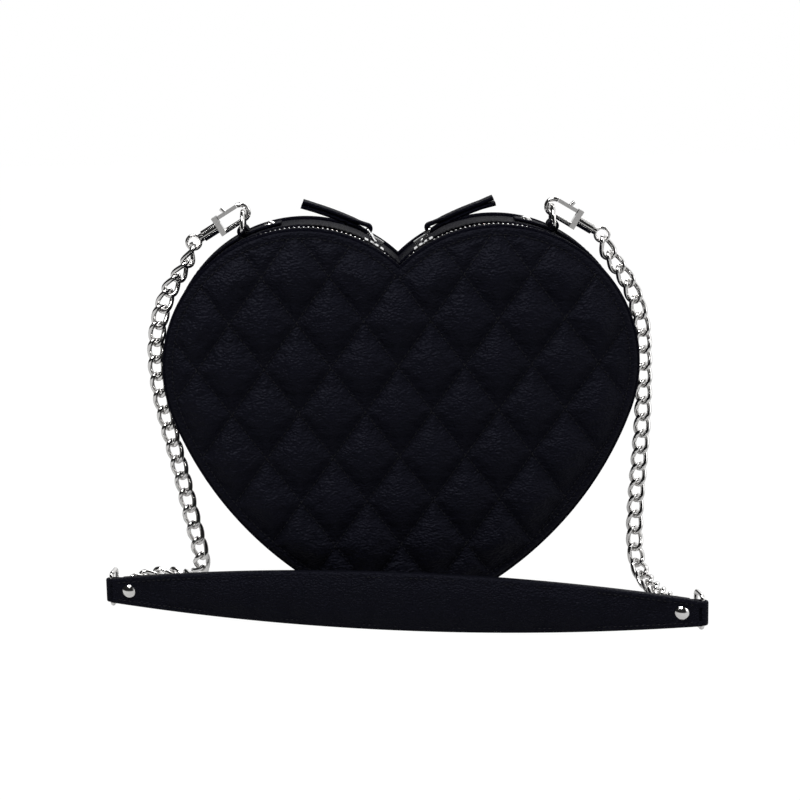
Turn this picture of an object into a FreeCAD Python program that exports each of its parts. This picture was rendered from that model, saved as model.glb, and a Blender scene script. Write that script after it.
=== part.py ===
import FreeCAD, Part
import math
import os
from FreeCAD import Placement, Rotation, Vector

# Heart shaped purse with a zip over its top and a chain strap with a shoulder pad.
# Millimetres. +X is the bag's right as seen from the front, +Y the back, +Z up.
# The origin is on the floor, under the tip of the heart, half way through its depth.

# Heart outline, drawn by tangent arcs
LOBE_X = 50.0
LOBE_R = 71.0
SIDE_R = 180.0
SIDE_TURN = 20.0
TIP_R = 50.8
FOOT_CUT = 0.6

# Body
DEPTH = 60.0
LEATHER = 1.4
BOARD = 1.2
LINING = 0.6
GUSSET_T = 1.8
GUSSET_IN = 0.2
QUILT_RISE = 5.0
QUILT_SHOULDER = 3.2
QUILT_EDGE = 4.0
QUILT_ROUND = 5.0
QUILT_CROWN = 18.0
QUILT_W = 34.2
QUILT_H = 47.0
QUILT_X = -1.9
QUILT_UP = 0.7
QUILT_GROOVE = 15.0
QUILT_SEAM = 1.6
PIPING_OUT = 1.4
PIPING_W = 2.8
PIPING_EASE = 0.6
LINING_DROP = 4.6
SEAM_GAP = 0.05
BOARD_INSET = 0.5

# Zip
ZIP_Y = -6.0
ZIP_SLOT = 11.0
ZIP_END = 18.0
TAPE_T = 0.6
TAPE_W = 6.4
TOOTH_PITCH = 2.45
TOOTH_L = 1.3
TOOTH_W = 2.4
TOOTH_H = 2.5
TOOTH_GAP = 1.6
TOOTH_NOTCH = 4.7
STOP_ARC = 2.0

# Zip slider, metal puller and leather tab
SLIDER_BACK = 9.5
SLIDER_ARC = 9.0
SLIDER_PLATE = 1.2
SLIDER_CLEAR = 0.5
SLIDER_WALL = 0.8
POST_W = 1.0
POST_ARC = 2.0
BAIL_W = 1.8
BAIL_ARC = 6.0
BAIL_WALL_ARC = 1.1
BAIL_BAR = 1.2
PULLER_D = 1.4
PULLER_W = 9.0
PULLER_L = 8.0
PULLER_RISE = 60.0
PULLER_CORNER = 1.2
RUN_CLEAR = 0.3
TAB_RISE = 22.0
TAB_L = 36.0
TAB_W = 11.0
TAB_T = 3.2
TAB_LEATHER = 1.5
TAB_NECK = 6.0
TAB_NIP = 0.4

# Strap anchor on each lobe: leather chape, D-ring, rivet and side tab
ANCHOR_Y = 12.0
ANCHOR_ANGLE = 65.0
CHAPE_W = 12.0
CHAPE_T = 1.6
CHAPE_INNER = 81.0
D_WIRE = 2.4
D_R = 8.4
D_CLEAR = 0.3
D_CORNER = 1.8
ANCHOR_RIVET = 6.0
ANCHOR_RIVET_H = 1.6
ANCHOR_SHANK = 2.4
ANCHOR_RIVET_ANGLE = 76.0
SIDE_TAB_END = {"right": -7.0, "left": -20.0}
SIDE_TAB_TAIL = {"right": 6.0, "left": 20.0}

# Swivel clasp, lying from the D-ring outward over the lobe
CLASP_WIRE = 2.6
CLASP_R = 4.0
CLASP_MOUTH = 12.0
CLASP_SHOULDER = 3.0
CLASP_SHOULDER_W = 4.6
BARREL_R = 3.0
BARREL_L = 8.5
STEM_R = 1.2
STEM_HEAD_R = 1.8
STEM_HEAD_L = 1.5
COLLAR_R = 2.2
COLLAR_L = 1.2
EYE_R = 3.6
EYE_WIRE = 1.8
EYE_RUN = 26.25
HOOK_CLEAR = 0.3
TRIGGER_T = 2.0
TRIGGER_H = 2.0
TRIGGER_PIN = 1.4
TRIGGER_HUB_R = 1.5
TRIGGER_LUG = 3.4
TRIGGER_LUG_AT = 5.0

# Chain
LINK_WIRE = 2.2
LINK_W = 9.5
LINK_PITCH = 9.25
LINK_CLEAR = 0.4
EYE_CLEAR = 0.4
CHAIN_ROLL = 45.0
CHAIN_ROLL_LINKS = 3
CHAIN_LEAN = 20.0
CHAIN_STANDOFF = 9.0
CHAIN_LOBE_ANGLES = (24.0, 10.0, -3.0)
# Points of the hanging run: in from the widest place, back from the anchor, height
CHAIN_HANG = {
    "right": ((0.0, 0.0, 104.0), (2.0, 2.0, 66.0), (3.5, 5.0, 36.0), (3.0, 0.0, 14.0)),
    "left": ((3.0, 0.0, 104.0), (11.5, -1.0, 66.0), (17.5, -2.0, 36.0), (20.0, 3.0, 15.0)),
}
# Points of the run on the floor: out from the pad's end ring, behind it, height
CHAIN_FLOOR = {
    "right": ((-14.0, 71.0, 6.0), (-8.0, 45.0, 5.4), (-4.0, 25.0, 6.8)),
    "left": ((-38.5, 40.0, 6.8), (-25.0, 50.0, 5.8), (-8.5, 44.0, 5.8), (-1.0, 25.0, 6.8)),
}

# Shoulder pad, standing on its edge in front of the bag
PAD_L = 312.0
PAD_W = 30.0
PAD_END_W = 12.5
PAD_X = -4.0
PAD_Y = -58.0
PAD_YAW = -11.5
PAD_LEATHER = 1.6
PAD_CORE = 1.3
PAD_CORE_INSET = 2.5
PAD_LAP = 24.0
PAD_STOP = 6.0
PAD_RIVET = 7.0
PAD_RIVET_H = 1.6
PAD_RIVET_CAP_H = 1.2
PAD_RIVET_SHANK = 3.0
PAD_RIVET_AT = 10.0
RING_WIRE = 2.2
RING_H = 18.8
RING_L = 13.2
RING_CORNER = 2.2
RING_FOLD_RIGHT = 70.0
RING_FOLD_LEFT = 95.0
LOOP_CLEAR = 0.15
HOLE_CLEAR = 0.05

# Worked out from the sizes above
HALF = DEPTH / 2
SIDE_DX = LOBE_X - (SIDE_R - LOBE_R) * math.cos(math.radians(SIDE_TURN))
SIDE_DZ = (SIDE_R - LOBE_R) * math.sin(math.radians(SIDE_TURN))
TIP_DZ = SIDE_DZ - math.sqrt((SIDE_R - TIP_R) ** 2 - SIDE_DX**2)
TIP_TURN = math.degrees(math.atan2(TIP_DZ - SIDE_DZ, -SIDE_DX))
LOBE_Z = TIP_R - FOOT_CUT - TIP_DZ
NOTCH_ANGLE = math.degrees(math.acos(-LOBE_X / LOBE_R))
NOTCH_Z = LOBE_Z + math.sqrt(LOBE_R**2 - LOBE_X**2)
GUSSET_TOP = LOBE_R - GUSSET_IN
GUSSET_BOTTOM = GUSSET_TOP - GUSSET_T
FAR = 4 * (LOBE_X + LOBE_R)
TAPE_TOP = GUSSET_BOTTOM - SEAM_GAP
TOOTH_MID = TAPE_TOP - TAPE_T / 2
TOOTH_TOP = NOTCH_ANGLE - math.degrees(TOOTH_NOTCH / LOBE_R)
PLATE_LOW = TOOTH_MID + TOOTH_H / 2 + SLIDER_CLEAR
SLIDER_ANGLE = TOOTH_TOP - SLIDER_BACK
SLIDER_TOP = PLATE_LOW + SLIDER_PLATE
SLIDER_HALF = TOOTH_GAP / 2 + TOOTH_W + SLIDER_CLEAR + SLIDER_WALL
BAIL_HOLE = PULLER_D + 2 * RUN_CLEAR
FOOT_TOP = GUSSET_TOP + SEAM_GAP + CHAPE_T
CHAPE_BORE = D_WIRE / 2 + D_CLEAR
CHAPE_LOOP = CHAPE_BORE + CHAPE_T
PAD_STACK = RING_WIRE + 2 * LOOP_CLEAR
PAD_REACH = PAD_L / 2 - PAD_STACK / 2 - PAD_LEATHER
PAD_RIVET_X = PAD_REACH - PAD_RIVET_AT
AXIS_Y = Vector(0, 1, 0)
MIRROR_X = Vector(1, 0, 0)
ORIGIN = Vector(0, 0, 0)


def lobe_point(radius, degrees, y):
    """A point about the right lobe's centre, turned up from +X."""
    angle = math.radians(degrees)
    return Vector(LOBE_X + radius * math.cos(angle), y, LOBE_Z + radius * math.sin(angle))


def arc_edge(x, z, radius, first, last, y):
    """An arc in the plane of the heart, from one angle to another."""
    points = []
    for degrees in (first, (first + last) / 2, last):
        angle = math.radians(degrees)
        points.append(Vector(x + radius * math.cos(angle), y, z + radius * math.sin(angle)))
    return Part.Arc(*points).toShape()


def heart_wire(offset, y):
    """The heart's outline, moved outward by offset, in the plane at y."""
    lobe_r = LOBE_R + offset
    notch = NOTCH_ANGLE
    if offset >= 0:
        notch = math.degrees(math.acos(-LOBE_X / lobe_r))
    side_z = LOBE_Z + SIDE_DZ
    edges = [
        arc_edge(LOBE_X, LOBE_Z, lobe_r, notch, -SIDE_TURN, y),
        arc_edge(SIDE_DX, side_z, SIDE_R + offset, -SIDE_TURN, TIP_TURN, y),
        arc_edge(0, LOBE_Z + TIP_DZ, TIP_R + offset, TIP_TURN, -180 - TIP_TURN, y),
        arc_edge(-SIDE_DX, side_z, SIDE_R + offset, -180 - TIP_TURN, SIDE_TURN - 180, y),
        arc_edge(-LOBE_X, LOBE_Z, lobe_r, 180 + SIDE_TURN, 180 - notch, y),
    ]
    if offset < 0:
        edges.append(arc_edge(0, NOTCH_Z, -offset, -notch, notch - 180, y))
    return Part.Wire(edges)


def heart_plate(offset, y0, y1):
    return Part.Face(heart_wire(offset, y0)).extrude(Vector(0, y1 - y0, 0))


def heart_band(outer, inner, y0, y1):
    return heart_plate(outer, y0, y1).cut(heart_plate(inner, y0, y1))


def heart_loft(sections):
    """A ruled solid through outlines given as (offset, y)."""
    return Part.makeLoft([heart_wire(offset, y) for offset, y in sections], True, True)


def slab(z0, z1):
    return Part.makeBox(2 * FAR, 2 * FAR, z1 - z0, Vector(-FAR, -FAR, z0))


def above(shape, z):
    return shape.common(slab(z, FAR))


def below(shape, z):
    return shape.common(slab(-FAR, z))


def grounded(shape):
    """Cut flat where the tip meets the floor."""
    return above(shape, 0)


def mirrored(shape):
    return shape.mirror(ORIGIN, MIRROR_X)


def sector(r0, r1, first, last, y0, y1):
    """A curved block about the right lobe's centre."""
    outer = arc_edge(LOBE_X, LOBE_Z, r1, first, last, y0)
    inner = arc_edge(LOBE_X, LOBE_Z, r0, last, first, y0)
    sides = [
        Part.makeLine(lobe_point(r1, last, y0), lobe_point(r0, last, y0)),
        Part.makeLine(lobe_point(r0, first, y0), lobe_point(r1, first, y0)),
    ]
    wire = Part.Wire([outer, sides[0], inner, sides[1]])
    return Part.Face(wire).extrude(Vector(0, y1 - y0, 0))


def rod(start, end, diameter):
    along = end - start
    return Part.makeCylinder(diameter / 2, along.Length, start, along)


def joined(pieces):
    return pieces[0].multiFuse(pieces[1:]).removeSplitter()


def bend(centre, normal, start, degrees, diameter):
    """Round bar turned about a centre, beginning at the point start."""
    tangent = normal.cross(start - centre)
    ring = Part.makeCircle(diameter / 2, start, tangent)
    return Part.Face(Part.Wire(ring)).revolve(centre, normal, degrees)


def rounded_loop(centre, across, along, half_w, half_l, corner, diameter):
    """A closed rectangular loop of round bar with rounded corners."""
    normal = across.cross(along)
    straight_w = half_w - corner
    straight_l = half_l - corner
    pieces = []
    for turn in range(4):
        axis, side = (across, along) if turn % 2 == 0 else (along, across)
        sign = 1 if turn < 2 else -1
        reach, run = (half_w, straight_l) if turn % 2 == 0 else (half_l, straight_w)
        middle = centre + axis * (sign * reach)
        pieces.append(rod(middle - side * run, middle + side * run, diameter))
        flip = sign if turn % 2 == 0 else -sign
        pivot = centre + axis * (sign * (reach - corner)) + side * (flip * run)
        pieces.append(bend(pivot, normal, pivot + axis * (sign * corner), 90, diameter))
    return joined(pieces)


def tilted(degrees):
    """The direction that rises at an angle from +X in the heart's plane."""
    angle = math.radians(degrees)
    return Vector(math.cos(angle), 0, math.sin(angle))


def dome(base, direction, diameter, height):
    """A low rivet head on a flat."""
    radius = (diameter**2 / 4 + height**2) / (2 * height)
    ball = Part.makeSphere(radius, base + direction * (height - radius))
    return ball.common(Part.makeCylinder(diameter / 2, height, base, direction))


def quilt_grooves(depth):
    """Grooves along both sets of seams, depth behind the sewn line, with the same slope at any depth."""
    slope = QUILT_GROOVE / 2 / (QUILT_RISE - QUILT_SEAM)
    low = -HALF - QUILT_SEAM + depth * math.hypot(1, slope) / slope
    high = -HALF - 2 * QUILT_RISE
    reach = LOBE_X + LOBE_R
    count = math.ceil(reach / QUILT_W) + 1
    grooves = []
    for way in (-1, 1):
        along = Vector(QUILT_W, 0, way * QUILT_H).normalize()
        side = AXIS_Y.cross(along) * (slope * (low - high))
        for index in range(-count, count + 1):
            start = Vector(QUILT_X + index * QUILT_W, low, LOBE_Z + QUILT_UP) - along * 2 * reach
            lip = Vector(start.x, high, start.z)
            face = Part.Face(Part.makePolygon([start, lip + side, lip - side, start]))
            grooves.append(face.extrude(along * 4 * reach))
    return grooves


def make_front():
    """Quilted leather front with its padding, board and lining."""
    back = -HALF + LEATHER
    edge = -QUILT_EDGE
    outer = [(edge, -HALF), (edge - QUILT_ROUND, -HALF - QUILT_SHOULDER)]
    outer.append((edge - QUILT_CROWN, -HALF - QUILT_RISE))
    inner = [(offset - LEATHER, y + LEATHER) for offset, y in outer]
    padding = heart_loft(inner).cut(quilt_grooves(LEATHER))
    quilt = heart_loft(outer).cut(quilt_grooves(0))
    shell = heart_plate(0, -HALF, back).fuse(quilt).cut(padding)
    board_edge = -GUSSET_IN - GUSSET_T - BOARD_INSET
    board_back = back + BOARD
    return {
        "front_panel": grounded(shell.removeSplitter()),
        "front_padding": padding,
        "front_backing": heart_plate(board_edge, back, board_back),
        "lining_front": heart_plate(board_edge, board_back, board_back + LINING),
    }


def make_back():
    front = HALF - LEATHER
    board_edge = -GUSSET_IN - GUSSET_T - BOARD_INSET
    board_front = front - BOARD
    return {
        "back_panel": grounded(heart_plate(0, front, HALF)),
        "back_stiffener": heart_plate(board_edge, board_front, front),
        "lining_back": heart_plate(board_edge, board_front - LINING, board_front),
    }


def make_piping():
    """A rounded edge bead round the front and the back."""
    low = PIPING_OUT - PIPING_EASE
    sections = [
        (low, -HALF),
        (PIPING_OUT, -HALF + PIPING_EASE),
        (PIPING_OUT, -HALF + PIPING_W - PIPING_EASE),
        (low, -HALF + PIPING_W),
    ]
    core = heart_plate(SEAM_GAP, -HALF, -HALF + PIPING_W)
    bead = grounded(heart_loft(sections).cut(core))
    return {"piping_front": bead, "piping_back": bead.mirror(ORIGIN, AXIS_Y)}


def make_gusset():
    """The band between front and back: plain below, two strips beside the zip above."""
    reach = HALF - LEATHER
    outer = -GUSSET_IN
    inner = outer - GUSSET_T
    slot = ZIP_SLOT / 2
    band = heart_band(outer, inner, -reach, reach)
    front = above(heart_band(outer, inner, -reach, ZIP_Y - slot), LOBE_Z)
    back = above(heart_band(outer, inner, ZIP_Y + slot, reach), LOBE_Z)
    for hole in (anchor_shank(HOLE_CLEAR), mirrored(anchor_shank(HOLE_CLEAR))):
        back = back.cut(hole)
    return {
        "gusset_lower": grounded(below(band, LOBE_Z)),
        "zip_strip_front": front,
        "zip_strip_back": back,
    }


def make_lining_band():
    reach = HALF - LEATHER - BOARD - LINING
    outer = -GUSSET_IN - GUSSET_T - LINING_DROP
    band = heart_band(outer, outer - LINING, -reach, reach)
    end_z = lobe_point(LOBE_R, ZIP_END, 0).z
    mouth = Part.makeBox(2 * FAR, ZIP_SLOT, FAR, Vector(-FAR, ZIP_Y - ZIP_SLOT / 2, end_z))
    return {"lining_gusset": band.cut(mouth)}


def tooth_row(side):
    """Teeth of one tape, side -1 at the front and 1 at the back."""
    step = math.degrees(TOOTH_PITCH / TOOTH_MID)
    first = ZIP_END + math.degrees(TOOTH_L / TOOTH_MID) + STOP_ARC / 2
    if side > 0:
        first += step / 2
    near = ZIP_Y + TOOTH_GAP / 2 if side > 0 else ZIP_Y - TOOTH_GAP / 2 - TOOTH_W
    block = Part.makeBox(TOOTH_H, TOOTH_W, TOOTH_L)
    block.translate(Vector(TOOTH_MID - TOOTH_H / 2, near, -TOOTH_L / 2))
    teeth = []
    for index in range(int((TOOTH_TOP - first) / step) + 1):
        tooth = block.copy()
        tooth.rotate(ORIGIN, AXIS_Y, -(first + index * step))
        tooth.translate(Vector(LOBE_X, 0, LOBE_Z))
        teeth += [tooth, mirrored(tooth)]
    return Part.makeCompound(teeth)


def make_zip():
    """Two tapes, two rows of teeth and the stops at their outer ends."""
    outer = TAPE_TOP - LOBE_R
    inner = outer - TAPE_T
    near = TOOTH_GAP / 2 + TOOTH_W
    end_z = lobe_point(LOBE_R, ZIP_END - STOP_ARC, 0).z
    front = heart_band(outer, inner, ZIP_Y - near - TAPE_W, ZIP_Y - near)
    back = heart_band(outer, inner, ZIP_Y + near, ZIP_Y + near + TAPE_W)
    half_h = TOOTH_H / 2
    stop = sector(
        TOOTH_MID - half_h, TOOTH_MID + half_h, ZIP_END - STOP_ARC, ZIP_END, ZIP_Y - near, ZIP_Y + near
    )
    return {
        "zip_tape_front": above(front, end_z),
        "zip_tape_back": above(back, end_z),
        "zip_teeth_front": tooth_row(-1),
        "zip_teeth_back": tooth_row(1),
        "zip_stops": Part.makeCompound([stop, mirrored(stop)]),
    }


def slider_block(r0, r1, arc, y0, y1):
    return sector(r0, r1, SLIDER_ANGLE - arc / 2, SLIDER_ANGLE + arc / 2, ZIP_Y + y0, ZIP_Y + y1)


def make_slider():
    """Two plates round the teeth, joined by a post, with a bail for the puller."""
    plate_high = TOOTH_MID - TOOTH_H / 2 - SLIDER_CLEAR
    plate_low = plate_high - SLIDER_PLATE
    lip_top = TAPE_TOP + RUN_CLEAR
    lip_low = TAPE_TOP - TAPE_T - RUN_CLEAR
    wall = SLIDER_HALF - SLIDER_WALL
    pieces = [
        slider_block(PLATE_LOW, SLIDER_TOP, SLIDER_ARC, -SLIDER_HALF, SLIDER_HALF),
        slider_block(plate_low, plate_high, SLIDER_ARC, -SLIDER_HALF, SLIDER_HALF),
    ]
    for y0, y1 in ((-SLIDER_HALF, -wall), (wall, SLIDER_HALF)):
        pieces.append(slider_block(lip_top, PLATE_LOW, SLIDER_ARC, y0, y1))
        pieces.append(slider_block(plate_high, lip_low, SLIDER_ARC, y0, y1))
    nose = SLIDER_ANGLE + SLIDER_ARC / 2
    half = POST_W / 2
    pieces.append(sector(plate_high, PLATE_LOW, nose - POST_ARC, nose, ZIP_Y - half, ZIP_Y + half))
    arch = slider_block(SLIDER_TOP, SLIDER_TOP + BAIL_HOLE + BAIL_BAR, BAIL_ARC, -BAIL_W / 2, BAIL_W / 2)
    hole_arc = BAIL_ARC - 2 * BAIL_WALL_ARC
    pieces.append(arch.cut(slider_block(SLIDER_TOP, SLIDER_TOP + BAIL_HOLE, hole_arc, -BAIL_W, BAIL_W)))
    return joined(pieces)


def puller_ends():
    """Centres of the puller's two bars: in the bail, and in the leather tab."""
    inner = lobe_point(SLIDER_TOP + BAIL_HOLE / 2, SLIDER_ANGLE, ZIP_Y)
    return inner, inner + tilted(PULLER_RISE) * PULLER_L


def make_puller():
    inner, outer = puller_ends()
    return rounded_loop(
        (inner + outer) / 2,
        AXIS_Y,
        tilted(PULLER_RISE),
        PULLER_W / 2,
        PULLER_L / 2,
        PULLER_CORNER,
        PULLER_D,
    )


def make_pull_tab():
    """Leather folded round the puller's outer bar, with both layers sewn flat."""
    centre = puller_ends()[1]
    bore = PULLER_D / 2 + RUN_CLEAR
    loop_r = bore + TAB_LEATHER
    neck_w = PULLER_W - PULLER_D - 2 * RUN_CLEAR - TAB_NIP
    loop = Part.makeCylinder(loop_r, neck_w, centre - AXIS_Y * (neck_w / 2), AXIS_Y)
    hole = Part.makeCylinder(bore, TAB_W, centre - AXIS_Y * (TAB_W / 2), AXIS_Y)
    neck = Part.makeBox(TAB_NECK, neck_w, TAB_T, Vector(0, -neck_w / 2, -TAB_T / 2))
    reach = TAB_L - TAB_NECK
    body = Part.makeBox(reach, TAB_W, TAB_T, Vector(TAB_NECK, -TAB_W / 2, -TAB_T / 2))
    corners = [edge for edge in body.Edges if abs(edge.tangentAt(edge.FirstParameter).z) > 0.9]
    body = body.makeFillet(TAB_T / 2, corners)
    for piece in (neck, body):
        piece.rotate(ORIGIN, AXIS_Y, -TAB_RISE)
        piece.translate(centre)
    return joined([loop, neck, body]).cut(hole)


def d_centre():
    """Middle of the D-ring's straight bar."""
    return lobe_point(FOOT_TOP + CHAPE_LOOP - CHAPE_T, ANCHOR_ANGLE, ANCHOR_Y)


def anchor_shank(clearance):
    inner = lobe_point(GUSSET_BOTTOM, ANCHOR_RIVET_ANGLE, ANCHOR_Y)
    outer = lobe_point(FOOT_TOP, ANCHOR_RIVET_ANGLE, ANCHOR_Y)
    return rod(inner, outer, ANCHOR_SHANK + 2 * clearance)


def make_anchor_rivet():
    out = tilted(ANCHOR_RIVET_ANGLE)
    head_base = lobe_point(FOOT_TOP - SEAM_GAP, ANCHOR_RIVET_ANGLE, ANCHOR_Y)
    return joined([anchor_shank(0), dome(head_base, out, ANCHOR_RIVET, ANCHOR_RIVET_H)])


def make_chape():
    """Leather lying on the lobe and folded round the D-ring's bar."""
    half = CHAPE_W / 2
    low = GUSSET_TOP + SEAM_GAP
    foot = sector(low, FOOT_TOP, ANCHOR_ANGLE, CHAPE_INNER, ANCHOR_Y - half, ANCHOR_Y + half)
    start = d_centre() - AXIS_Y * half
    loop = Part.makeCylinder(CHAPE_LOOP, CHAPE_W, start, AXIS_Y)
    bore = Part.makeCylinder(CHAPE_BORE, CHAPE_W, start, AXIS_Y)
    leather = joined([foot, loop]).cut(bore)
    seat = Part.makeCylinder(ANCHOR_RIVET / 2, CHAPE_T, *rivet_seat())
    return leather.cut(anchor_shank(HOLE_CLEAR)).cut(seat)


def rivet_seat():
    """Where the rivet's head presses into the leather."""
    return lobe_point(FOOT_TOP - SEAM_GAP, ANCHOR_RIVET_ANGLE, ANCHOR_Y), tilted(ANCHOR_RIVET_ANGLE)


def make_side_tab(side):
    """The chape's tail, running down the outside of the lobe to a free end."""
    half = CHAPE_W / 2
    low = GUSSET_TOP + SEAM_GAP
    end = SIDE_TAB_END[side]
    loop_arc = math.degrees((CHAPE_LOOP + RUN_CLEAR) / FOOT_TOP)
    first = ANCHOR_ANGLE - loop_arc
    strip = sector(low, FOOT_TOP, end, first, ANCHOR_Y - half, ANCHOR_Y + half)
    tail = Part.makeBox(CHAPE_T, CHAPE_W, SIDE_TAB_TAIL[side])
    corners = [edge for edge in tail.Edges if abs(edge.tangentAt(edge.FirstParameter).x) > 0.9]
    lowest = [edge for edge in corners if edge.CenterOfMass.z < SIDE_TAB_TAIL[side] / 2]
    tail = tail.makeFillet(CHAPE_W / 4, lowest)
    tail.translate(Vector(low, ANCHOR_Y - half, -SIDE_TAB_TAIL[side]))
    tail.rotate(ORIGIN, AXIS_Y, -end)
    tail.translate(Vector(LOBE_X, 0, LOBE_Z))
    return joined([strip, tail])


def make_d_ring():
    """A straight bar with rounded corners, closed by a half round."""
    bar = d_centre()
    half = D_R - D_CORNER
    round_centre = bar + Vector(0, 0, D_CORNER)
    pivots = (round_centre - AXIS_Y * half, round_centre + AXIS_Y * half)
    pieces = [
        rod(bar - AXIS_Y * half, bar + AXIS_Y * half, D_WIRE),
        bend(pivots[0], -MIRROR_X, bar - AXIS_Y * half, 90, D_WIRE),
        bend(pivots[1], MIRROR_X, bar + AXIS_Y * half, 90, D_WIRE),
        bend(round_centre, MIRROR_X, round_centre + AXIS_Y * D_R, 180, D_WIRE),
    ]
    return joined(pieces)


def clasp_frame():
    """Crown centre of the hook, the direction towards its crown, and the one across it."""
    apex = d_centre() + Vector(0, 0, D_CORNER + D_R)
    seat = CLASP_R - CLASP_WIRE / 2 - D_WIRE / 2 - HOOK_CLEAR
    reach = seat + clasp_length()
    along = Vector(-EYE_RUN, 0, math.sqrt(reach**2 - EYE_RUN**2)) / reach
    return apex - along * seat, along, Vector(along.z, 0, -along.x)


def clasp_length():
    """From the centre of the hook's crown to the centre of the swivel's eye."""
    return CLASP_MOUTH + CLASP_SHOULDER + BARREL_L + HOOK_CLEAR + COLLAR_L + EYE_R + EYE_WIRE / 2


def clasp_point(along, across):
    crown, toward, side = clasp_frame()
    return crown + toward * along + side * across


def eye_centre():
    return clasp_point(-clasp_length(), 0)


def chain_start():
    """The way that the first link leaves the eye: down, leaning outward."""
    return tilted(CHAIN_LEAN - 90)


def eye_pivot():
    """The place on the eye's wire where the chain hangs and turns."""
    return eye_centre() + chain_start() * EYE_R


def clasp_box(low, high, side_low, side_high, thick):
    """A block in the clasp's own directions, centred on its plane."""
    corners = [(low, side_low), (high, side_low), (high, side_high), (low, side_high)]
    points = [clasp_point(*corner) - AXIS_Y * (thick / 2) for corner in corners]
    face = Part.Face(Part.makePolygon(points + points[:1]))
    return face.extrude(AXIS_Y * thick)


def trigger_pivot():
    return -CLASP_MOUTH - CLASP_SHOULDER / 2, CLASP_R


def make_clasp_hook():
    """Hook, shoulder with ears for the trigger, and barrel for the swivel."""
    crown = clasp_point(0, 0)
    shoulder = -CLASP_MOUTH - CLASP_SHOULDER
    reach = CLASP_R + CLASP_WIRE / 2
    ear = CLASP_R + TRIGGER_HUB_R
    barrel_start = clasp_point(shoulder, 0)
    barrel_end = clasp_point(shoulder - BARREL_L, 0)
    pieces = [
        rod(clasp_point(-CLASP_MOUTH, -CLASP_R), clasp_point(0, -CLASP_R), CLASP_WIRE),
        bend(crown, AXIS_Y, clasp_point(0, -CLASP_R), 180, CLASP_WIRE),
        clasp_box(shoulder, -CLASP_MOUTH, -reach, ear, CLASP_SHOULDER_W),
        rod(barrel_start, barrel_end, 2 * BARREL_R),
    ]
    hook = joined(pieces)
    slot = clasp_box(shoulder, -CLASP_MOUTH, BARREL_R / 2, 2 * ear, TRIGGER_T + 2 * RUN_CLEAR)
    bore = rod(clasp_point(shoulder - BARREL_L, 0), clasp_point(shoulder, 0), 2 * (STEM_R + RUN_CLEAR))
    pocket = rod(
        clasp_point(shoulder - STEM_HEAD_L - 2 * RUN_CLEAR, 0),
        clasp_point(shoulder, 0),
        2 * (STEM_HEAD_R + RUN_CLEAR),
    )
    pin = trigger_pin(0)
    return hook.cut(slot).cut(bore).cut(pocket).cut(pin)


def trigger_pin(clearance):
    start = clasp_point(*trigger_pivot()) - AXIS_Y * (CLASP_SHOULDER_W / 2)
    return Part.makeCylinder(TRIGGER_PIN / 2 + clearance, CLASP_SHOULDER_W, start, AXIS_Y)


def make_trigger():
    """The sprung gate that closes the hook, with its thumb lug."""
    along, across = trigger_pivot()
    hub_start = clasp_point(along, across) - AXIS_Y * (TRIGGER_T / 2)
    hub = Part.makeCylinder(TRIGGER_HUB_R, TRIGGER_T, hub_start, AXIS_Y)
    half = TRIGGER_H / 2
    bar = clasp_box(along, -HOOK_CLEAR, across - half, across + half, TRIGGER_T)
    lug_at = -CLASP_MOUTH + TRIGGER_LUG_AT
    lug = rod(clasp_point(lug_at, across), clasp_point(lug_at - half, across + TRIGGER_LUG), TRIGGER_T)
    return joined([hub, bar, lug]).cut(trigger_pin(RUN_CLEAR))


def make_swivel():
    """Eye for the chain, turning on a headed stem inside the barrel."""
    shoulder = -CLASP_MOUTH - CLASP_SHOULDER
    barrel_end = shoulder - BARREL_L - HOOK_CLEAR
    head = shoulder - RUN_CLEAR
    pieces = [
        rod(clasp_point(barrel_end, 0), clasp_point(head, 0), 2 * STEM_R),
        rod(clasp_point(head - STEM_HEAD_L, 0), clasp_point(head, 0), 2 * STEM_HEAD_R),
        rod(clasp_point(barrel_end - COLLAR_L - EYE_WIRE / 2, 0), clasp_point(barrel_end, 0), 2 * COLLAR_R),
        Part.makeTorus(EYE_R, EYE_WIRE / 2, eye_centre(), AXIS_Y),
    ]
    hole = rod(
        eye_centre() - AXIS_Y * COLLAR_R, eye_centre() + AXIS_Y * COLLAR_R, 2 * EYE_R - EYE_WIRE
    )
    return joined(pieces).cut(hole)


def make_link(pitch):
    """One chain link about the origin, long in X and wide in Y."""
    bend_r = (LINK_W - LINK_WIRE) / 2
    reach = (pitch + LINK_WIRE + LINK_CLEAR) / 2 - bend_r
    up = Vector(0, 0, 1)
    pieces = []
    for side in (-1, 1):
        corner = Vector(side * reach, -side * bend_r, 0)
        pieces.append(bend(Vector(side * reach, 0, 0), up, corner, 180, LINK_WIRE))
        pieces.append(rod(Vector(-reach, side * bend_r, 0), Vector(reach, side * bend_r, 0), LINK_WIRE))
    return joined(pieces)


def chain_route(side):
    """The chain's points: down from the eye, over the lobe, down the side, along the floor."""
    sign = 1 if side == "right" else -1
    top = eye_pivot() - chain_start() * ((EYE_WIRE + EYE_CLEAR) / 2)
    points = [top, top + chain_start() * LINK_PITCH]
    radius = LOBE_R + CHAIN_STANDOFF
    points += [lobe_point(radius, angle, ANCHOR_Y) for angle in CHAIN_LOBE_ANGLES]
    for inward, back, height in CHAIN_HANG[side]:
        points.append(Vector(LOBE_X + radius - inward, ANCHOR_Y + back, height))
    points = [Vector(sign * point.x, point.y, point.z) for point in points]
    ring = ring_bar(sign) - ring_way(sign) * ((RING_WIRE + LINK_CLEAR) / 2)
    for out, back, height in CHAIN_FLOOR[side]:
        points.append(Vector(ring.x + sign * out, ring.y + back, height))
    return points + [ring + ring_way(sign) * LINK_PITCH, ring]


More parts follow.
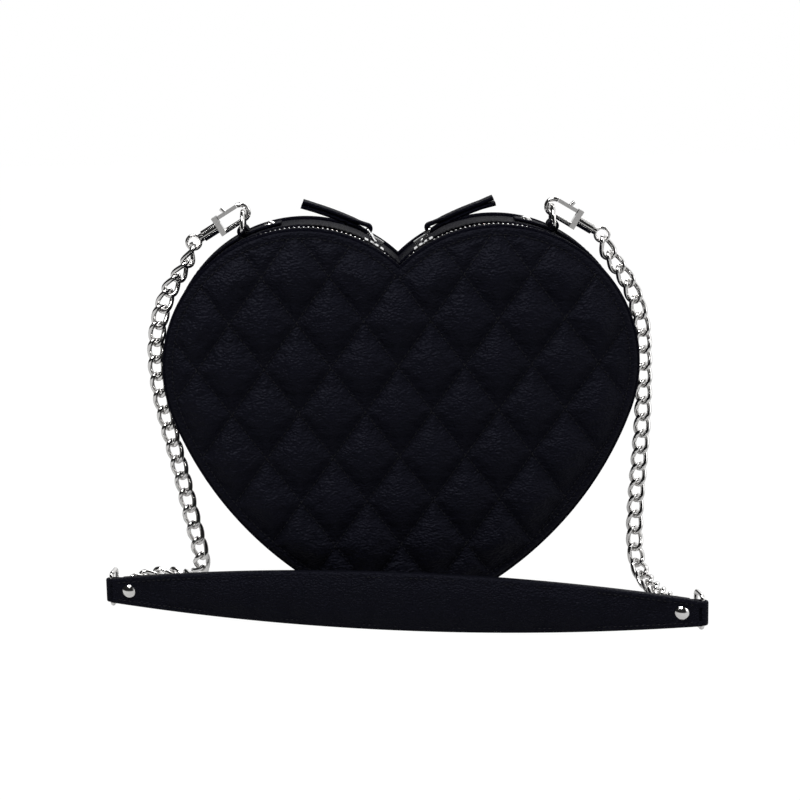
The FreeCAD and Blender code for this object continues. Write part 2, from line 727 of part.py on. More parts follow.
def chain_nodes(side):
    """Meeting points of the links, evenly spaced along the route."""
    points = chain_route(side)
    curve = Part.BSplineCurve()
    curve.interpolate(points[1:])
    edge = curve.toShape()
    count = round(edge.Length / LINK_PITCH)
    return points[:1] + edge.discretize(Number=count + 1), edge.Length / count


def chain_roll(index, count):
    """Links alternate by a right angle and lean over between their flat ends."""
    lean = CHAIN_ROLL * min(1, index / CHAIN_ROLL_LINKS)
    left = count - 1 - index
    parity = 1 if count % 2 else -1
    lean += parity * CHAIN_ROLL * (1 - min(1, left / CHAIN_ROLL_LINKS))
    return 90 * index + lean


def link_frames(nodes):
    """Place and directions of each link, carried along the route without twisting."""
    lateral = AXIS_Y
    frames = []
    for start, end in zip(nodes, nodes[1:]):
        along = (end - start).normalize()
        lateral = (lateral - along * along.dot(lateral)).normalize()
        frames.append(((start + end) / 2, along, lateral))
    return frames


def make_chain(side):
    nodes, pitch = chain_nodes(side)
    link = make_link(pitch)
    frames = link_frames(nodes)
    count = len(frames)
    _, along, lateral = frames[-1]
    up = Vector(0, 0, 1)
    twist = math.degrees(math.atan2(along.cross(lateral).dot(up), lateral.dot(up)))
    links = []
    for index, (middle, along, lateral) in enumerate(frames):
        frame = Rotation(along, lateral, along.cross(lateral), "XYZ")
        roll = chain_roll(index, count) + twist * index / (count - 1)
        piece = link.copy()
        piece.Placement = Placement(middle, frame.multiply(Rotation(MIRROR_X, roll)))
        links.append(piece)
    return Part.makeCompound(links)


def pad_place(shape):
    """From the pad's own directions to where it stands in front of the bag."""
    shape.Placement = pad_placement().multiply(shape.Placement)
    return shape


def pad_placement():
    return Placement(Vector(PAD_X, PAD_Y, PAD_W / 2), Rotation(Vector(0, 0, 1), PAD_YAW))


def ring_fold(sign):
    """The way that an end ring leans from the pad's end loop, in the pad's directions."""
    fold = math.radians(RING_FOLD_RIGHT if sign > 0 else RING_FOLD_LEFT)
    return Vector(-sign * math.cos(fold), math.sin(fold), 0)


def ring_way(sign):
    """The same way, in the bag's directions."""
    return pad_placement().Rotation.multVec(ring_fold(sign))


def loop_centre(sign):
    return Vector(sign * PAD_REACH, PAD_STACK / 2, 0)


def ring_bar(sign):
    """The place on an end ring's free bar where the last link goes round it."""
    low = Vector(0, 0, LINK_WIRE + RING_WIRE - RING_H / 2)
    return pad_placement().multVec(loop_centre(sign) + ring_fold(sign) * (RING_L - RING_WIRE) + low)


def pad_layer(half_l, t0, t1, inset):
    """One layer of the pad: wide in the middle, narrow at its ends."""
    reach = PAD_REACH
    wide = PAD_W / 2 - inset
    narrow = PAD_END_W / 2 - inset
    top = Part.Arc(Vector(-reach, t0, narrow), Vector(0, t0, wide), Vector(reach, t0, narrow))
    low = Part.Arc(Vector(reach, t0, -narrow), Vector(0, t0, -wide), Vector(-reach, t0, -narrow))
    ends = [
        Part.makeLine(Vector(reach, t0, narrow), Vector(reach, t0, -narrow)),
        Part.makeLine(Vector(-reach, t0, -narrow), Vector(-reach, t0, narrow)),
    ]
    sheet = Part.Face(Part.Wire([top.toShape(), ends[0], low.toShape(), ends[1]]))
    keep = Part.makeBox(2 * half_l, 2 * PAD_W, 2 * PAD_W, Vector(-half_l, -PAD_W, -PAD_W))
    return sheet.extrude(Vector(0, t1 - t0, 0)).common(keep)


def rivet_holes(shape):
    for side in (-1, 1):
        start = Vector(side * PAD_RIVET_X, -PAD_W, 0)
        shape = shape.cut(Part.makeCylinder(PAD_RIVET_SHANK / 2 + HOLE_CLEAR, 2 * PAD_W, start, AXIS_Y))
    return shape


def make_pad():
    """Leather front folded round the end rings, padding, and leather backing."""
    half_w = PAD_END_W / 2
    up = Vector(0, 0, 1)
    pieces = [pad_layer(PAD_REACH, -PAD_LEATHER, 0, 0)]
    for sign in (-1, 1):
        start = loop_centre(sign) - up * half_w
        loop = Part.makeCylinder(PAD_STACK / 2 + PAD_LEATHER, PAD_END_W, start, up)
        loop = loop.cut(Part.makeCylinder(PAD_STACK / 2, PAD_END_W, start, up))
        corner = Vector(PAD_REACH if sign > 0 else -PAD_REACH - PAD_W, -PAD_W, -PAD_W)
        pieces.append(loop.common(Part.makeBox(PAD_W, 2 * PAD_W, 2 * PAD_W, corner)))
        corner = Vector(PAD_REACH - PAD_LAP if sign > 0 else -PAD_REACH, PAD_STACK, -half_w)
        pieces.append(Part.makeBox(PAD_LAP, PAD_LEATHER, PAD_END_W, corner))
    short = PAD_REACH - PAD_STOP
    return {
        "strap_outer": pad_place(rivet_holes(joined(pieces))),
        "strap_core": pad_place(rivet_holes(pad_layer(short, 0, PAD_CORE, PAD_CORE_INSET))),
        "strap_backing": pad_place(rivet_holes(pad_layer(short, PAD_CORE, PAD_STACK, 0))),
    }


def make_pad_rivets():
    back = PAD_STACK + PAD_LEATHER
    rivets = []
    for side in (-1, 1):
        at = side * PAD_RIVET_X
        front = Vector(at, -PAD_LEATHER, 0)
        rear = Vector(at, back, 0)
        head = dome(front, -AXIS_Y, PAD_RIVET, PAD_RIVET_H)
        cap = dome(rear, AXIS_Y, PAD_RIVET, PAD_RIVET_CAP_H)
        rivets.append(joined([rod(front, rear, PAD_RIVET_SHANK), head, cap]))
    return pad_place(Part.makeCompound(rivets))


def make_strap_ring(sign):
    """Rectangular ring in the pad's end loop, folded back behind the pad."""
    half_l = (RING_L - RING_WIRE) / 2
    half_h = (RING_H - RING_WIRE) / 2
    toward = ring_fold(sign)
    centre = loop_centre(sign) + toward * half_l
    ring = rounded_loop(centre, Vector(0, 0, 1), toward, half_h, half_l, RING_CORNER, RING_WIRE)
    return pad_place(ring)


def both_sides(name, shape):
    return {name + "_right": shape, name + "_left": mirrored(shape)}


def make_part():
    nodes = {}
    for make in (make_front, make_back, make_piping, make_gusset, make_lining_band, make_zip, make_pad):
        nodes.update(make())
    nodes.update(both_sides("zip_slider", make_slider()))
    nodes.update(both_sides("zip_puller", make_puller()))
    nodes.update(both_sides("pull_tab", make_pull_tab()))
    nodes.update(both_sides("chape", make_chape()))
    nodes.update(both_sides("d_ring", make_d_ring()))
    nodes.update(both_sides("clasp_hook", make_clasp_hook()))
    nodes.update(both_sides("clasp_trigger", make_trigger()))
    nodes.update(both_sides("trigger_pin", trigger_pin(0)))
    nodes.update(both_sides("clasp_swivel", make_swivel()))
    rivet = make_anchor_rivet()
    nodes["anchor_rivets"] = Part.makeCompound([rivet, mirrored(rivet)])
    nodes["side_tab_right"] = make_side_tab("right")
    nodes["side_tab_left"] = mirrored(make_side_tab("left"))
    nodes["chain_right"] = make_chain("right")
    nodes["chain_left"] = make_chain("left")
    nodes["strap_ring_right"] = make_strap_ring(1)
    nodes["strap_ring_left"] = make_strap_ring(-1)
    nodes["strap_rivets"] = make_pad_rivets()
    return nodes


def main():
    os.makedirs("parts", exist_ok=True)
    for name, shape in make_part().items():
        shape.exportStep("parts/" + name + ".step")
        if not shape.isValid():
            print("not valid:", name)


main()
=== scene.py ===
"""Dresses the heart shaped purse: quilted leather, zip, chain strap, shoulder pad and a plain studio."""
import math

import bmesh
import bpy
import numpy as np
from mathutils import Matrix, Vector
from mathutils.geometry import delaunay_2d_cdt


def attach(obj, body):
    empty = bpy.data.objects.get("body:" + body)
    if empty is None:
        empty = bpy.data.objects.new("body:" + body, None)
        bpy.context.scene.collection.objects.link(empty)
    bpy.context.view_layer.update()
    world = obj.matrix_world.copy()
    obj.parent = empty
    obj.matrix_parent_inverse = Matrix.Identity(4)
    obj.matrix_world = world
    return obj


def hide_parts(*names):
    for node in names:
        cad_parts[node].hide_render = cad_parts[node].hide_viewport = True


bl_info = {
    "name": "Heart Shaped Purse",
    "version": (1, 0, 0),
    "blender": (4, 5, 0),
    "location": "3D View > Sidebar > Purse",
    "description": "Quilted leather purse with a chain strap, built piece by piece on its packed frame",
    "category": "Object",
}

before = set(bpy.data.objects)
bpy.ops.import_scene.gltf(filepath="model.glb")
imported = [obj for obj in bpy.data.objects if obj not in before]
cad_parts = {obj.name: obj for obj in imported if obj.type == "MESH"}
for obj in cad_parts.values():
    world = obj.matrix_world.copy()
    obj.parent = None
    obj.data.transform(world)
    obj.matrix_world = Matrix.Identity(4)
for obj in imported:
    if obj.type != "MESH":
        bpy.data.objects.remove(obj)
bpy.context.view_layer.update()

MM = 0.001
SIDES = (("right", 1), ("left", -1))

# The heart's outline: arcs as centre, radius and the angles that they run between, for the right half
LOBE_X = 50.0 * MM
LOBE_Z = 131.005 * MM
LOBE_R = 71.0 * MM
NOTCH_ANGLE = 134.767
NOTCH_Z = LOBE_Z + math.sqrt(LOBE_R**2 - LOBE_X**2)
TIP_Z = 50.2 * MM
HEART_ARCS = (
    (LOBE_X, LOBE_Z, LOBE_R, NOTCH_ANGLE, -20.0),
    (-52.4265 * MM, 168.285 * MM, 180.0 * MM, -20.0, -66.06),
    (0.0, TIP_Z, 50.8 * MM, -66.06, -90.0),
)
ARC_LAP = 0.05  # degrees by which neighbouring arcs overlap, so that no point falls between them
HALF_DEPTH = 30.0 * MM
RIM = 3.8 * MM
RIM_EASE = 14.0 * MM
PLATE_T = 2.5 * MM
BACKWARD = Vector((0.0, 1.0, 0.0))
FORWARD = Vector((0.0, -1.0, 0.0))
UPWARD = Vector((0.0, 0.0, 1.0))

# The band round the bottom, the strips beside the zip, the beads and the lining
GUSSET_TOP = LOBE_Z + LOBE_R * math.sin(math.radians(13.0))
GUSSET_IN = 0.9 * MM
GUSSET_T = 1.9 * MM
GUSSET_SEAM = 10.5
STRIP_LOW = LOBE_Z + LOBE_R * math.sin(math.radians(3.0))
STRIP_IN = 1.15 * MM
EDGE_T = 1.8 * MM
BEAD_R = 1.45 * MM
BEAD_IN = 1.4 * MM
LINING_IN = 6.9 * MM
LINING_T = 0.6 * MM

# The zip and the strap's anchor on each lobe
ZIP_Y = -6.0 * MM
ZIP_SLOT = 5.5 * MM
ZIP_END = 18.0
TEETH_R = 68.95 * MM
TEETH_PITCH_R = 68.65 * MM
FIRST_TOOTH = ZIP_END + 2.085
LAST_TOOTH = 130.97
TEETH_GAP = 0.8 * MM
TAPE_W = 6.4 * MM
ANCHOR_Y = 12.0 * MM
ANCHOR_ANGLE = 65.0
STRIP_MID = 71.65 * MM
STRIP_T = 1.6 * MM
STRIP_W = 12.0 * MM
STRIP_END = 3.0 * MM
STRIP_SEAM = 4.4 * MM
STRIP_START = ANCHOR_ANGLE - 2.75
BAR_MID = 73.95 * MM
CHAPE_FROM = 81.0
CHAPE_WRAP = 290.0
SIDE_TABS = {"right": (-7.0, 6.0 * MM), "left": (-20.0, 20.0 * MM)}  # last angle on the lobe, straight tail

# The pull tabs, which turn on the zip pullers
TAB_X = 16.0945 * MM
TAB_Z = 199.852 * MM
TAB_RISE = 22.0
TAB_L = 36.0 * MM
TAB_LEATHER = 2.0 * MM
TAB_FLARE = {"right": 0.55 * MM, "left": 0.1 * MM}
TAB_BEND = 1.75 * MM
TAB_GAP = 1.05 * MM
TAB_START = 3.0 * MM
TAB_BOW = 0.8 * MM
TAB_NECK = 3.2 * MM
TAB_HALF = 5.5 * MM
TAB_SEAM = 4.1 * MM

# The chains: the middle of the right swivel's eye, and the degrees that each first link turns to clear it
EYE_MID = Vector((107.5, 12.0, 192.3)) * MM
LINK_LEAN = {"right": -30.0, "left": -70.0}
LEANING_LINKS = 4
LINK_STEPS = 28
WIRE_SIDES = 10

# The shoulder pad in its own directions, and where it stands
PAD_REACH = 153.15 * MM
PAD_HALF = 15.0 * MM
PAD_END_HALF = 6.25 * MM
PAD_TURN = Matrix.Rotation(math.radians(-11.5), 4, "Z")
PAD_PLACE = Matrix.Translation((-4.0 * MM, -58.0 * MM, 15.0 * MM)) @ PAD_TURN
PAD_FACE = 1.6 * MM
PAD_REAR = 2.5 * MM
PAD_CROWN = 1.3 * MM
PAD_HEM = 2.2 * MM
PAD_BEND = 2.05 * MM
PAD_LAP = 24.0 * MM

# How the leather swells
SWELL_FRAMES = 20
SWELL_STEPS = 500
SWELL_CLOTH = {
    "quality": 6,
    "mass": 0.0001,
    "air_damping": 2.0,
    "pin_stiffness": 1.0,
    "tension_stiffness": 12.0,
    "compression_stiffness": 12.0,
    "shear_stiffness": 4.0,
    "bending_stiffness": 0.0006,
    "use_pressure": True,
}

# Rays that see the white background
SHOWN_RAYS = ("Is Camera Ray", "Is Glossy Ray", "Is Transmission Ray")
FLOOR_REACH = 3.0
FLOOR_GLOSS = 0.35


def smooth_step(value):
    value = np.clip(value, 0.0, 1.0)
    return value * value * (3.0 - 2.0 * value)


def arc_line(x, z, radius, first, last, step):
    """Points and outward directions along an arc in the heart's plane, without its last point."""
    count = max(3, math.ceil(abs(math.radians(last - first)) * radius / step))
    line = []
    for index in range(count):
        angle = math.radians(first + (last - first) * index / count)
        out = (math.cos(angle), math.sin(angle))
        line.append((x + radius * out[0], z + radius * out[1], *out))
    return line


def heart_half(offset, step):
    """The right half of the outline, moved outward by offset, from the notch to the tip."""
    line = []
    if offset < 0:
        turn = arc_line(0.0, NOTCH_Z, -offset, -90.0, NOTCH_ANGLE - 180.0, step)
        line += [(x, z, -nx, -nz) for x, z, nx, nz in turn]
    for x, z, radius, first, last in HEART_ARCS:
        line += arc_line(x, z, radius + offset, first, last, step)
    if offset >= 0:
        line[0] = (0.0, NOTCH_Z + offset * 1.41, 0.0, 1.41)
    x, z, radius, _, _ = HEART_ARCS[-1]
    line.append((0.0, z - radius - offset, 0.0, -1.0))
    return line


def heart_line(offset, step):
    """The whole outline as a closed line of x, z and the outward direction."""
    half = heart_half(offset, step)
    return half + [(-x, z, -nx, nz) for x, z, nx, nz in reversed(half[1:-1])]


def edge_distance(x, z):
    """How far points lie inside the outline."""
    x = np.abs(x)
    near = np.hypot(x, z - NOTCH_Z)
    for cx, cz, radius, first, last in HEART_ARCS:
        angle = np.degrees(np.arctan2(z - cz, x - cx))
        inside = radius - np.hypot(x - cx, z - cz)
        facing = (angle <= first + ARC_LAP) & (angle >= last - ARC_LAP)
        near = np.where(facing, np.minimum(near, inside), near)
    return near


def lobe_point(radius, degrees, y, sign=1):
    angle = math.radians(degrees)
    return Vector((sign * (LOBE_X + radius * math.cos(angle)), y, LOBE_Z + radius * math.sin(angle)))


def lobe_out(degrees, sign=1):
    angle = math.radians(degrees)
    return Vector((sign * math.cos(angle), 0.0, math.sin(angle)))


def piece_from(name, points, faces):
    mesh = bpy.data.meshes.new(name)
    mesh.from_pydata(points, [], faces)
    mesh.shade_smooth()
    piece = bpy.data.objects.new(name, mesh)
    bpy.context.scene.collection.objects.link(piece)
    return piece


def faces_outward(piece):
    form = bmesh.new()
    form.from_mesh(piece.data)
    bmesh.ops.recalc_face_normals(form, faces=form.faces[:])
    form.to_mesh(piece.data)
    form.free()


def loft(name, loops, closed=False):
    """A skin through loops of points, capped at its ends unless it closes on itself."""
    size = len(loops[0])
    points = [point for loop in loops for point in loop]
    faces = []
    for row in range(len(loops) if closed else len(loops) - 1):
        here = row * size
        there = (row + 1) % len(loops) * size
        for index in range(size):
            after = (index + 1) % size
            faces.append((here + index, here + after, there + after, there + index))
    if not closed:
        faces.append(tuple(range(size)))
        faces.append(tuple(range(len(points) - size, len(points))))
    piece = piece_from(name, points, faces)
    faces_outward(piece)
    return piece


def strip_section(half, thick, count):
    """Outline of a flat strip with softly rounded edges, as pairs of across and up."""
    ease = min(0.5 * thick, 0.3 * half)
    flat = [(half - ease) * (2 * index / count - 1) for index in range(count + 1)]
    edge = ((half - 0.3 * ease, 0.36 * thick), (half, 0.0), (half - 0.3 * ease, -0.36 * thick))
    section = [(across, thick / 2) for across in flat] + list(edge)
    return section + [(-across, -up) for across, up in section]


def ribbon(name, stations, count=4):
    """A leather strip through stations of middle, direction up, direction across, half width, thickness."""
    loops = []
    for middle, up, across, half, thick in stations:
        loops.append([middle + across * a + up * h for a, h in strip_section(half, thick, count)])
    return loft(name, loops)


def joined(name, pieces):
    """Several pieces as one mesh."""
    form = bmesh.new()
    for piece in pieces:
        form.from_mesh(piece.data)
        bpy.data.objects.remove(piece)
    mesh = bpy.data.meshes.new(name)
    form.to_mesh(mesh)
    form.free()
    mesh.shade_smooth()
    whole = bpy.data.objects.new(name, mesh)
    bpy.context.scene.collection.objects.link(whole)
    return whole


def dress(piece, body, slot, finish, *nodes):
    """Gives a finished piece its material and body, and hides the nodes that it stands for. Its slot is not
    used.
    """
    piece.data.materials.clear()
    piece.data.materials.append(finish)
    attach(piece, body)
    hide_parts(*nodes)
    return piece


class Shade:
    """A shader socket that takes part in Python expressions."""

    def __init__(self, tree, socket=None):
        self.tree = tree
        self.socket = socket

    def add(self, kind, settings, sockets, output=0):
        """A new node: its settings first, then the values or links of its sockets."""
        node = self.tree.nodes.new(kind)
        for name, value in settings.items():
            setattr(node, name, value)
        for name, value in sockets.items():
            self.feed(node.inputs[name], value)
        return Shade(self.tree, node.outputs[output])

    def feed(self, target, value):
        if isinstance(value, Shade):
            self.tree.links.new(value.socket, target)
        else:
            target.default_value = value

    def maths(self, operation, first, second):
        return self.add("ShaderNodeMath", {"operation": operation}, {0: first, 1: second})

    def __add__(self, other):
        return self.maths("ADD", self, other)

    def __radd__(self, other):
        return self.maths("ADD", other, self)

    def __sub__(self, other):
        return self.maths("SUBTRACT", self, other)

    def __rsub__(self, other):
        return self.maths("SUBTRACT", other, self)

    def __mul__(self, other):
        return self.maths("MULTIPLY", self, other)

    def __rmul__(self, other):
        return self.maths("MULTIPLY", other, self)

    def __pow__(self, other):
        return self.maths("POWER", self, other)


def new_finish(name):
    """A new material with its pen, its shader and the place on the piece."""
    material = bpy.data.materials.new(name)
    material.use_nodes = True
    pen = Shade(material.node_tree)
    place = pen.add("ShaderNodeTexCoord", {}, {}, "Object")
    return material, pen, material.node_tree.nodes["Principled BSDF"], place


def toned(colour, part=1.0):
    """A colour made darker or lighter, opaque."""
    return (*[channel * part for channel in colour[:3]], 1.0)


def scaled(pen, place, scale):
    return pen.add("ShaderNodeVectorMath", {"operation": "MULTIPLY"}, {0: place, 1: scale})


def noise(pen, place, scale, detail, output="Fac"):
    return pen.add("ShaderNodeTexNoise", {}, {"Vector": place, "Scale": scale, "Detail": detail}, output)


def ridges(pen, place, scale, distortion):
    """Slanting waves, as of twisted or woven threads."""
    sockets = {"Vector": place, "Scale": scale, "Distortion": distortion}
    return pen.add("ShaderNodeTexWave", {"bands_direction": "DIAGONAL"}, sockets, "Fac")


def colour_mix(pen, factor, first, second):
    return pen.add("ShaderNodeMix", {"data_type": "RGBA"}, {0: factor, 6: first, 7: second}, 2)


def relief(pen, surface, height, strength, distance):
    bump = pen.add("ShaderNodeBump", {}, {"Strength": strength, "Distance": distance, "Height": height})
    pen.feed(surface.inputs["Normal"], bump)


def leather_finish(name, colour, grain, folds, shine):
    """Black leather with a grain drawn out sideways, a little polish on its high places, and a painted sheen:
    the colour is lighter on the puffs' crowns and darker down at the seams.
    """
    material, pen, surface, place = new_finish(name)
    drift = noise(pen, place, 260.0, 2.0, "Color")
    far = (2.0 * MM,) * 3
    moved = pen.add("ShaderNodeVectorMath", {"operation": "MULTIPLY_ADD"}, {0: drift, 1: far, 2: place})
    pebbles = pen.add(
        "ShaderNodeTexVoronoi",
        {"feature": "SMOOTH_F1"},
        {"Vector": scaled(pen, moved, (0.62, 0.8, 1.0)), "Scale": 1.0 / grain, "Smoothness": 0.5},
        "Distance",
    )
    ripples = noise(pen, scaled(pen, moved, (0.4, 0.7, 1.0)), 0.95 / grain, 2.0)
    broad = noise(pen, place, 55.0, 3.0)
    height = (1.0 - pebbles) * 0.8 + ripples * folds + broad * 0.6
    relief(pen, surface, height, 0.9, 0.85 * MM)
    crown_polish_and_painted_sheen = pen.add("ShaderNodeAttribute", {"attribute_name": "crown"}, {}, "Fac")
    # painted sheen and shade: the crown height lightens the colour on each puff's top and darkens it in the
    # seams' valleys; the broad noise and the pebbles are the leather's own tone
    tone = broad * 0.5 + crown_polish_and_painted_sheen * 0.25 + (1.0 - pebbles) * 0.3
    pen.feed(surface.inputs["Base Color"], colour_mix(pen, tone, toned(colour, 0.6), toned(colour, 1.4)))
    # the crowns are also less rough, as leather rubbed smooth
    pen.feed(surface.inputs["Roughness"], 0.64 - 0.08 * crown_polish_and_painted_sheen - ripples * 0.14 + broad * 0.1)
    surface.inputs["Specular IOR Level"].default_value = shine
    surface.inputs["Specular Tint"].default_value = (0.74, 0.77, 1.0, 1.0)
    return material


def thread_finish(name, colour):
    """Twisted sewing thread, its colour darkened as painted shade in the grooves between the strands."""
    material, pen, surface, place = new_finish(name)
    strands = ridges(pen, place, 900.0, 1.5)
    fuzz = noise(pen, place, 2600.0, 2.0)
    relief(pen, surface, strands + fuzz * 0.4, 0.5, 0.12 * MM)
    # painted shade: the colour darkens towards the grooves between the twisted strands; the fuzz is the
    # thread's own uneven tone
    painted_groove_shade = (0.0012, 0.0012, 0.002, 1.0)
    pen.feed(surface.inputs["Base Color"], colour_mix(pen, strands * 0.6 + fuzz * 0.4, painted_groove_shade, colour))
    pen.feed(surface.inputs["Roughness"], 0.5 + fuzz * 0.25)
    surface.inputs["Specular IOR Level"].default_value = 0.2
    return material


def metal_finish(name, colour, polish):
    """Polished nickel with faint handling marks."""
    material, pen, surface, place = new_finish(name)
    marks = noise(pen, scaled(pen, place, (1.0, 1.0, 3.0)), 900.0, 4.0)
    haze = noise(pen, place, 120.0, 2.0)
    pen.feed(surface.inputs["Base Color"], colour_mix(pen, haze, toned(colour, 0.86), toned(colour)))
    pen.feed(surface.inputs["Roughness"], polish + marks * 0.06 + haze * 0.05)
    surface.inputs["Metallic"].default_value = 1.0
    relief(pen, surface, marks, 0.06, 0.1 * MM)
    return material


def cloth_finish(name, colour, threads):
    """Plain woven cloth, with threads of that width, its colour darkened as painted shade in the gaps between
    the threads.
    """
    material, pen, surface, place = new_finish(name)
    count = 0.31 / threads
    weave = ridges(pen, place, count, 0.0) * ridges(pen, scaled(pen, place, (-1.0, 1.0, 1.0)), count, 0.0)
    slub = noise(pen, place, 500.0, 3.0)
    relief(pen, surface, weave + slub * 0.3, 0.6, 0.2 * MM)
    # painted shade: the colour darkens into the gaps between the crossing threads; the slub noise is the
    # cloth's own uneven tone
    painted_gap_shade_and_slub, light = toned(colour, 0.55), toned(colour)
    pen.feed(surface.inputs["Base Color"], colour_mix(pen, weave * 0.7 + slub * 0.3, painted_gap_shade_and_slub, light))
    pen.feed(surface.inputs["Roughness"], 0.75 + slub * 0.2)
    return material


def shared_finish(name):
    """The finishes that several pieces share, made once."""
    if name in bpy.data.materials:
        return bpy.data.materials[name]
    leather = bpy.context.scene.purse_leather
    metal = bpy.context.scene.purse_metal
    makers = {
        "panel_leather": lambda: leather_finish(name, leather.colour, leather.grain, 0.7, 0.1),
        "strap_leather": lambda: leather_finish(name, leather.colour, 0.8 * leather.grain, 0.4, 0.1),
        "trim_leather": lambda: leather_finish(name, leather.colour, 0.7 * leather.grain, 0.5, 0.025),
        "black_thread": lambda: thread_finish(name, leather.thread_colour),
        "bright_nickel": lambda: metal_finish(name, metal.colour, metal.polish),
        "zip_nickel": lambda: metal_finish(name, metal.zip_colour, metal.polish + 0.06),
        "zip_tape_weave": lambda: cloth_finish(name, (0.014, 0.014, 0.018), 0.5 * MM),
        "lining_weave": lambda: cloth_finish(name, (0.03, 0.03, 0.034), 0.4 * MM),
    }
    return makers[name]()


def node_tree_with(name, sockets):
    """An empty Geometry Nodes tree with named inputs: its pen and those inputs."""
    tree = bpy.data.node_groups.new(name, "GeometryNodeTree")
    tree.interface.new_socket("Geometry", in_out="INPUT", socket_type="NodeSocketGeometry")
    for label, kind, value in sockets:
        socket = tree.interface.new_socket(label, in_out="INPUT", socket_type=kind)
        if value is not None:
            socket.default_value = value
    tree.interface.new_socket("Geometry", in_out="OUTPUT", socket_type="NodeSocketGeometry")
    given = tree.nodes.new("NodeGroupInput")
    return Shade(tree), {socket.name: Shade(tree, socket) for socket in given.outputs}


def turned_by(pen, along, out):
    """A rotation that lays X along one direction and Z towards another."""
    sockets = {"Primary Axis": along, "Secondary Axis": out}
    return pen.add("FunctionNodeAxesToRotation", {"primary_axis": "X", "secondary_axis": "Z"}, sockets)


def named_vector(pen, name):
    kind = {"data_type": "FLOAT_VECTOR"}
    return pen.add("GeometryNodeInputNamedAttribute", kind, {"Name": name}, "Attribute")


def set_out(pen, given, sockets):
    """Ends a tree: a shape at every point, as real and smooth geometry in the given material."""
    last = pen.add("GeometryNodeInstanceOnPoints", {}, sockets)
    for kind in ("GeometryNodeRealizeInstances", "GeometryNodeSetShadeSmooth"):
        last = pen.add(kind, {}, {"Geometry": last})
    last = pen.add("GeometryNodeSetMaterial", {}, {"Geometry": last, "Material": given["Material"]})
    pen.feed(pen.tree.nodes.new("NodeGroupOutput").inputs["Geometry"], last)
    return pen.tree


def stitch_tree():
    """Stitches at an even pitch along lines, each lying on its surface."""
    if "Sewn Lines" in bpy.data.node_groups:
        return bpy.data.node_groups["Sewn Lines"]
    sockets = (
        ("Pitch", "NodeSocketFloat", 2.7 * MM),
        ("Stitch Size", "NodeSocketVector", (2.1 * MM, 0.5 * MM, 0.4 * MM)),
        ("Unevenness", "NodeSocketFloat", 0.12),
        ("Seed", "NodeSocketInt", 7),
        ("Material", "NodeSocketMaterial", None),
    )
    pen, given = node_tree_with("Sewn Lines", sockets)
    line = pen.add("GeometryNodeMeshToCurve", {}, {"Mesh": given["Geometry"]})
    even = pen.add("GeometryNodeResampleCurve", {"mode": "LENGTH"}, {"Curve": line, "Length": given["Pitch"]})
    ball = pen.add("GeometryNodeMeshUVSphere", {}, {"Segments": 6, "Rings": 4, "Radius": 0.5})
    tangent = pen.add("GeometryNodeInputTangent", {}, {})
    limits = {2: 1.0 - given["Unevenness"], 3: 1.0, "Seed": given["Seed"]}
    part = pen.add("FunctionNodeRandomValue", {"data_type": "FLOAT"}, limits, 1)
    size = pen.add("ShaderNodeVectorMath", {"operation": "SCALE"}, {0: given["Stitch Size"], "Scale": part})
    turn = turned_by(pen, tangent, named_vector(pen, "out"))
    return set_out(pen, given, {"Points": even, "Instance": ball, "Rotation": turn, "Scale": size})


def repeat_tree():
    """One shape at every point, turned by the directions stored there."""
    if "Repeated Shape" in bpy.data.node_groups:
        return bpy.data.node_groups["Repeated Shape"]
    sockets = (
        ("Shape", "NodeSocketObject", None),
        ("Size", "NodeSocketVector", (1.0, 1.0, 1.0)),
        ("Material", "NodeSocketMaterial", None),
    )
    pen, given = node_tree_with("Repeated Shape", sockets)
    shape = pen.add("GeometryNodeObjectInfo", {}, {"Object": given["Shape"]}, "Geometry")
    turn = turned_by(pen, named_vector(pen, "along"), named_vector(pen, "out"))
    places = {"Points": given["Geometry"], "Instance": shape, "Rotation": turn, "Scale": given["Size"]}
    return set_out(pen, given, places)


def grown(piece, tree, values):
    """Runs a tree on a piece and keeps the result as a plain mesh."""
    modifier = piece.modifiers.new(tree.name, "NODES")
    modifier.node_group = tree
    for item in tree.interface.items_tree:
        if item.in_out == "INPUT" and item.name in values:
            modifier[item.identifier] = values[item.name]
    depsgraph = bpy.context.evaluated_depsgraph_get()
    mesh = bpy.data.meshes.new_from_object(piece.evaluated_get(depsgraph), depsgraph=depsgraph)
    piece.modifiers.remove(modifier)
    mesh.name = piece.name
    piece.data = mesh
    if not mesh.polygons:
        raise RuntimeError(piece.name + " came out empty")
    return piece


def points_with(name, points, edges, **vectors):
    """A mesh of points, joined by edges or loose, that carries a direction or more at each."""
    mesh = bpy.data.meshes.new(name)
    mesh.from_pydata(points, edges, [])
    for label, values in vectors.items():
        store = mesh.attributes.new(label, "FLOAT_VECTOR", "POINT")
        store.data.foreach_set("vector", [number for value in values for number in value])
    piece = bpy.data.objects.new(name, mesh)
    bpy.context.scene.collection.objects.link(piece)
    return piece


def repeated(name, shape, rows, finish):
    """One shape set at each row of point, along and out."""
    points, along, out = zip(*rows)
    piece = points_with(name, points, [], along=along, out=out)
    grown(piece, repeat_tree(), {"Shape": shape, "Material": finish})
    bpy.data.objects.remove(shape)
    return piece


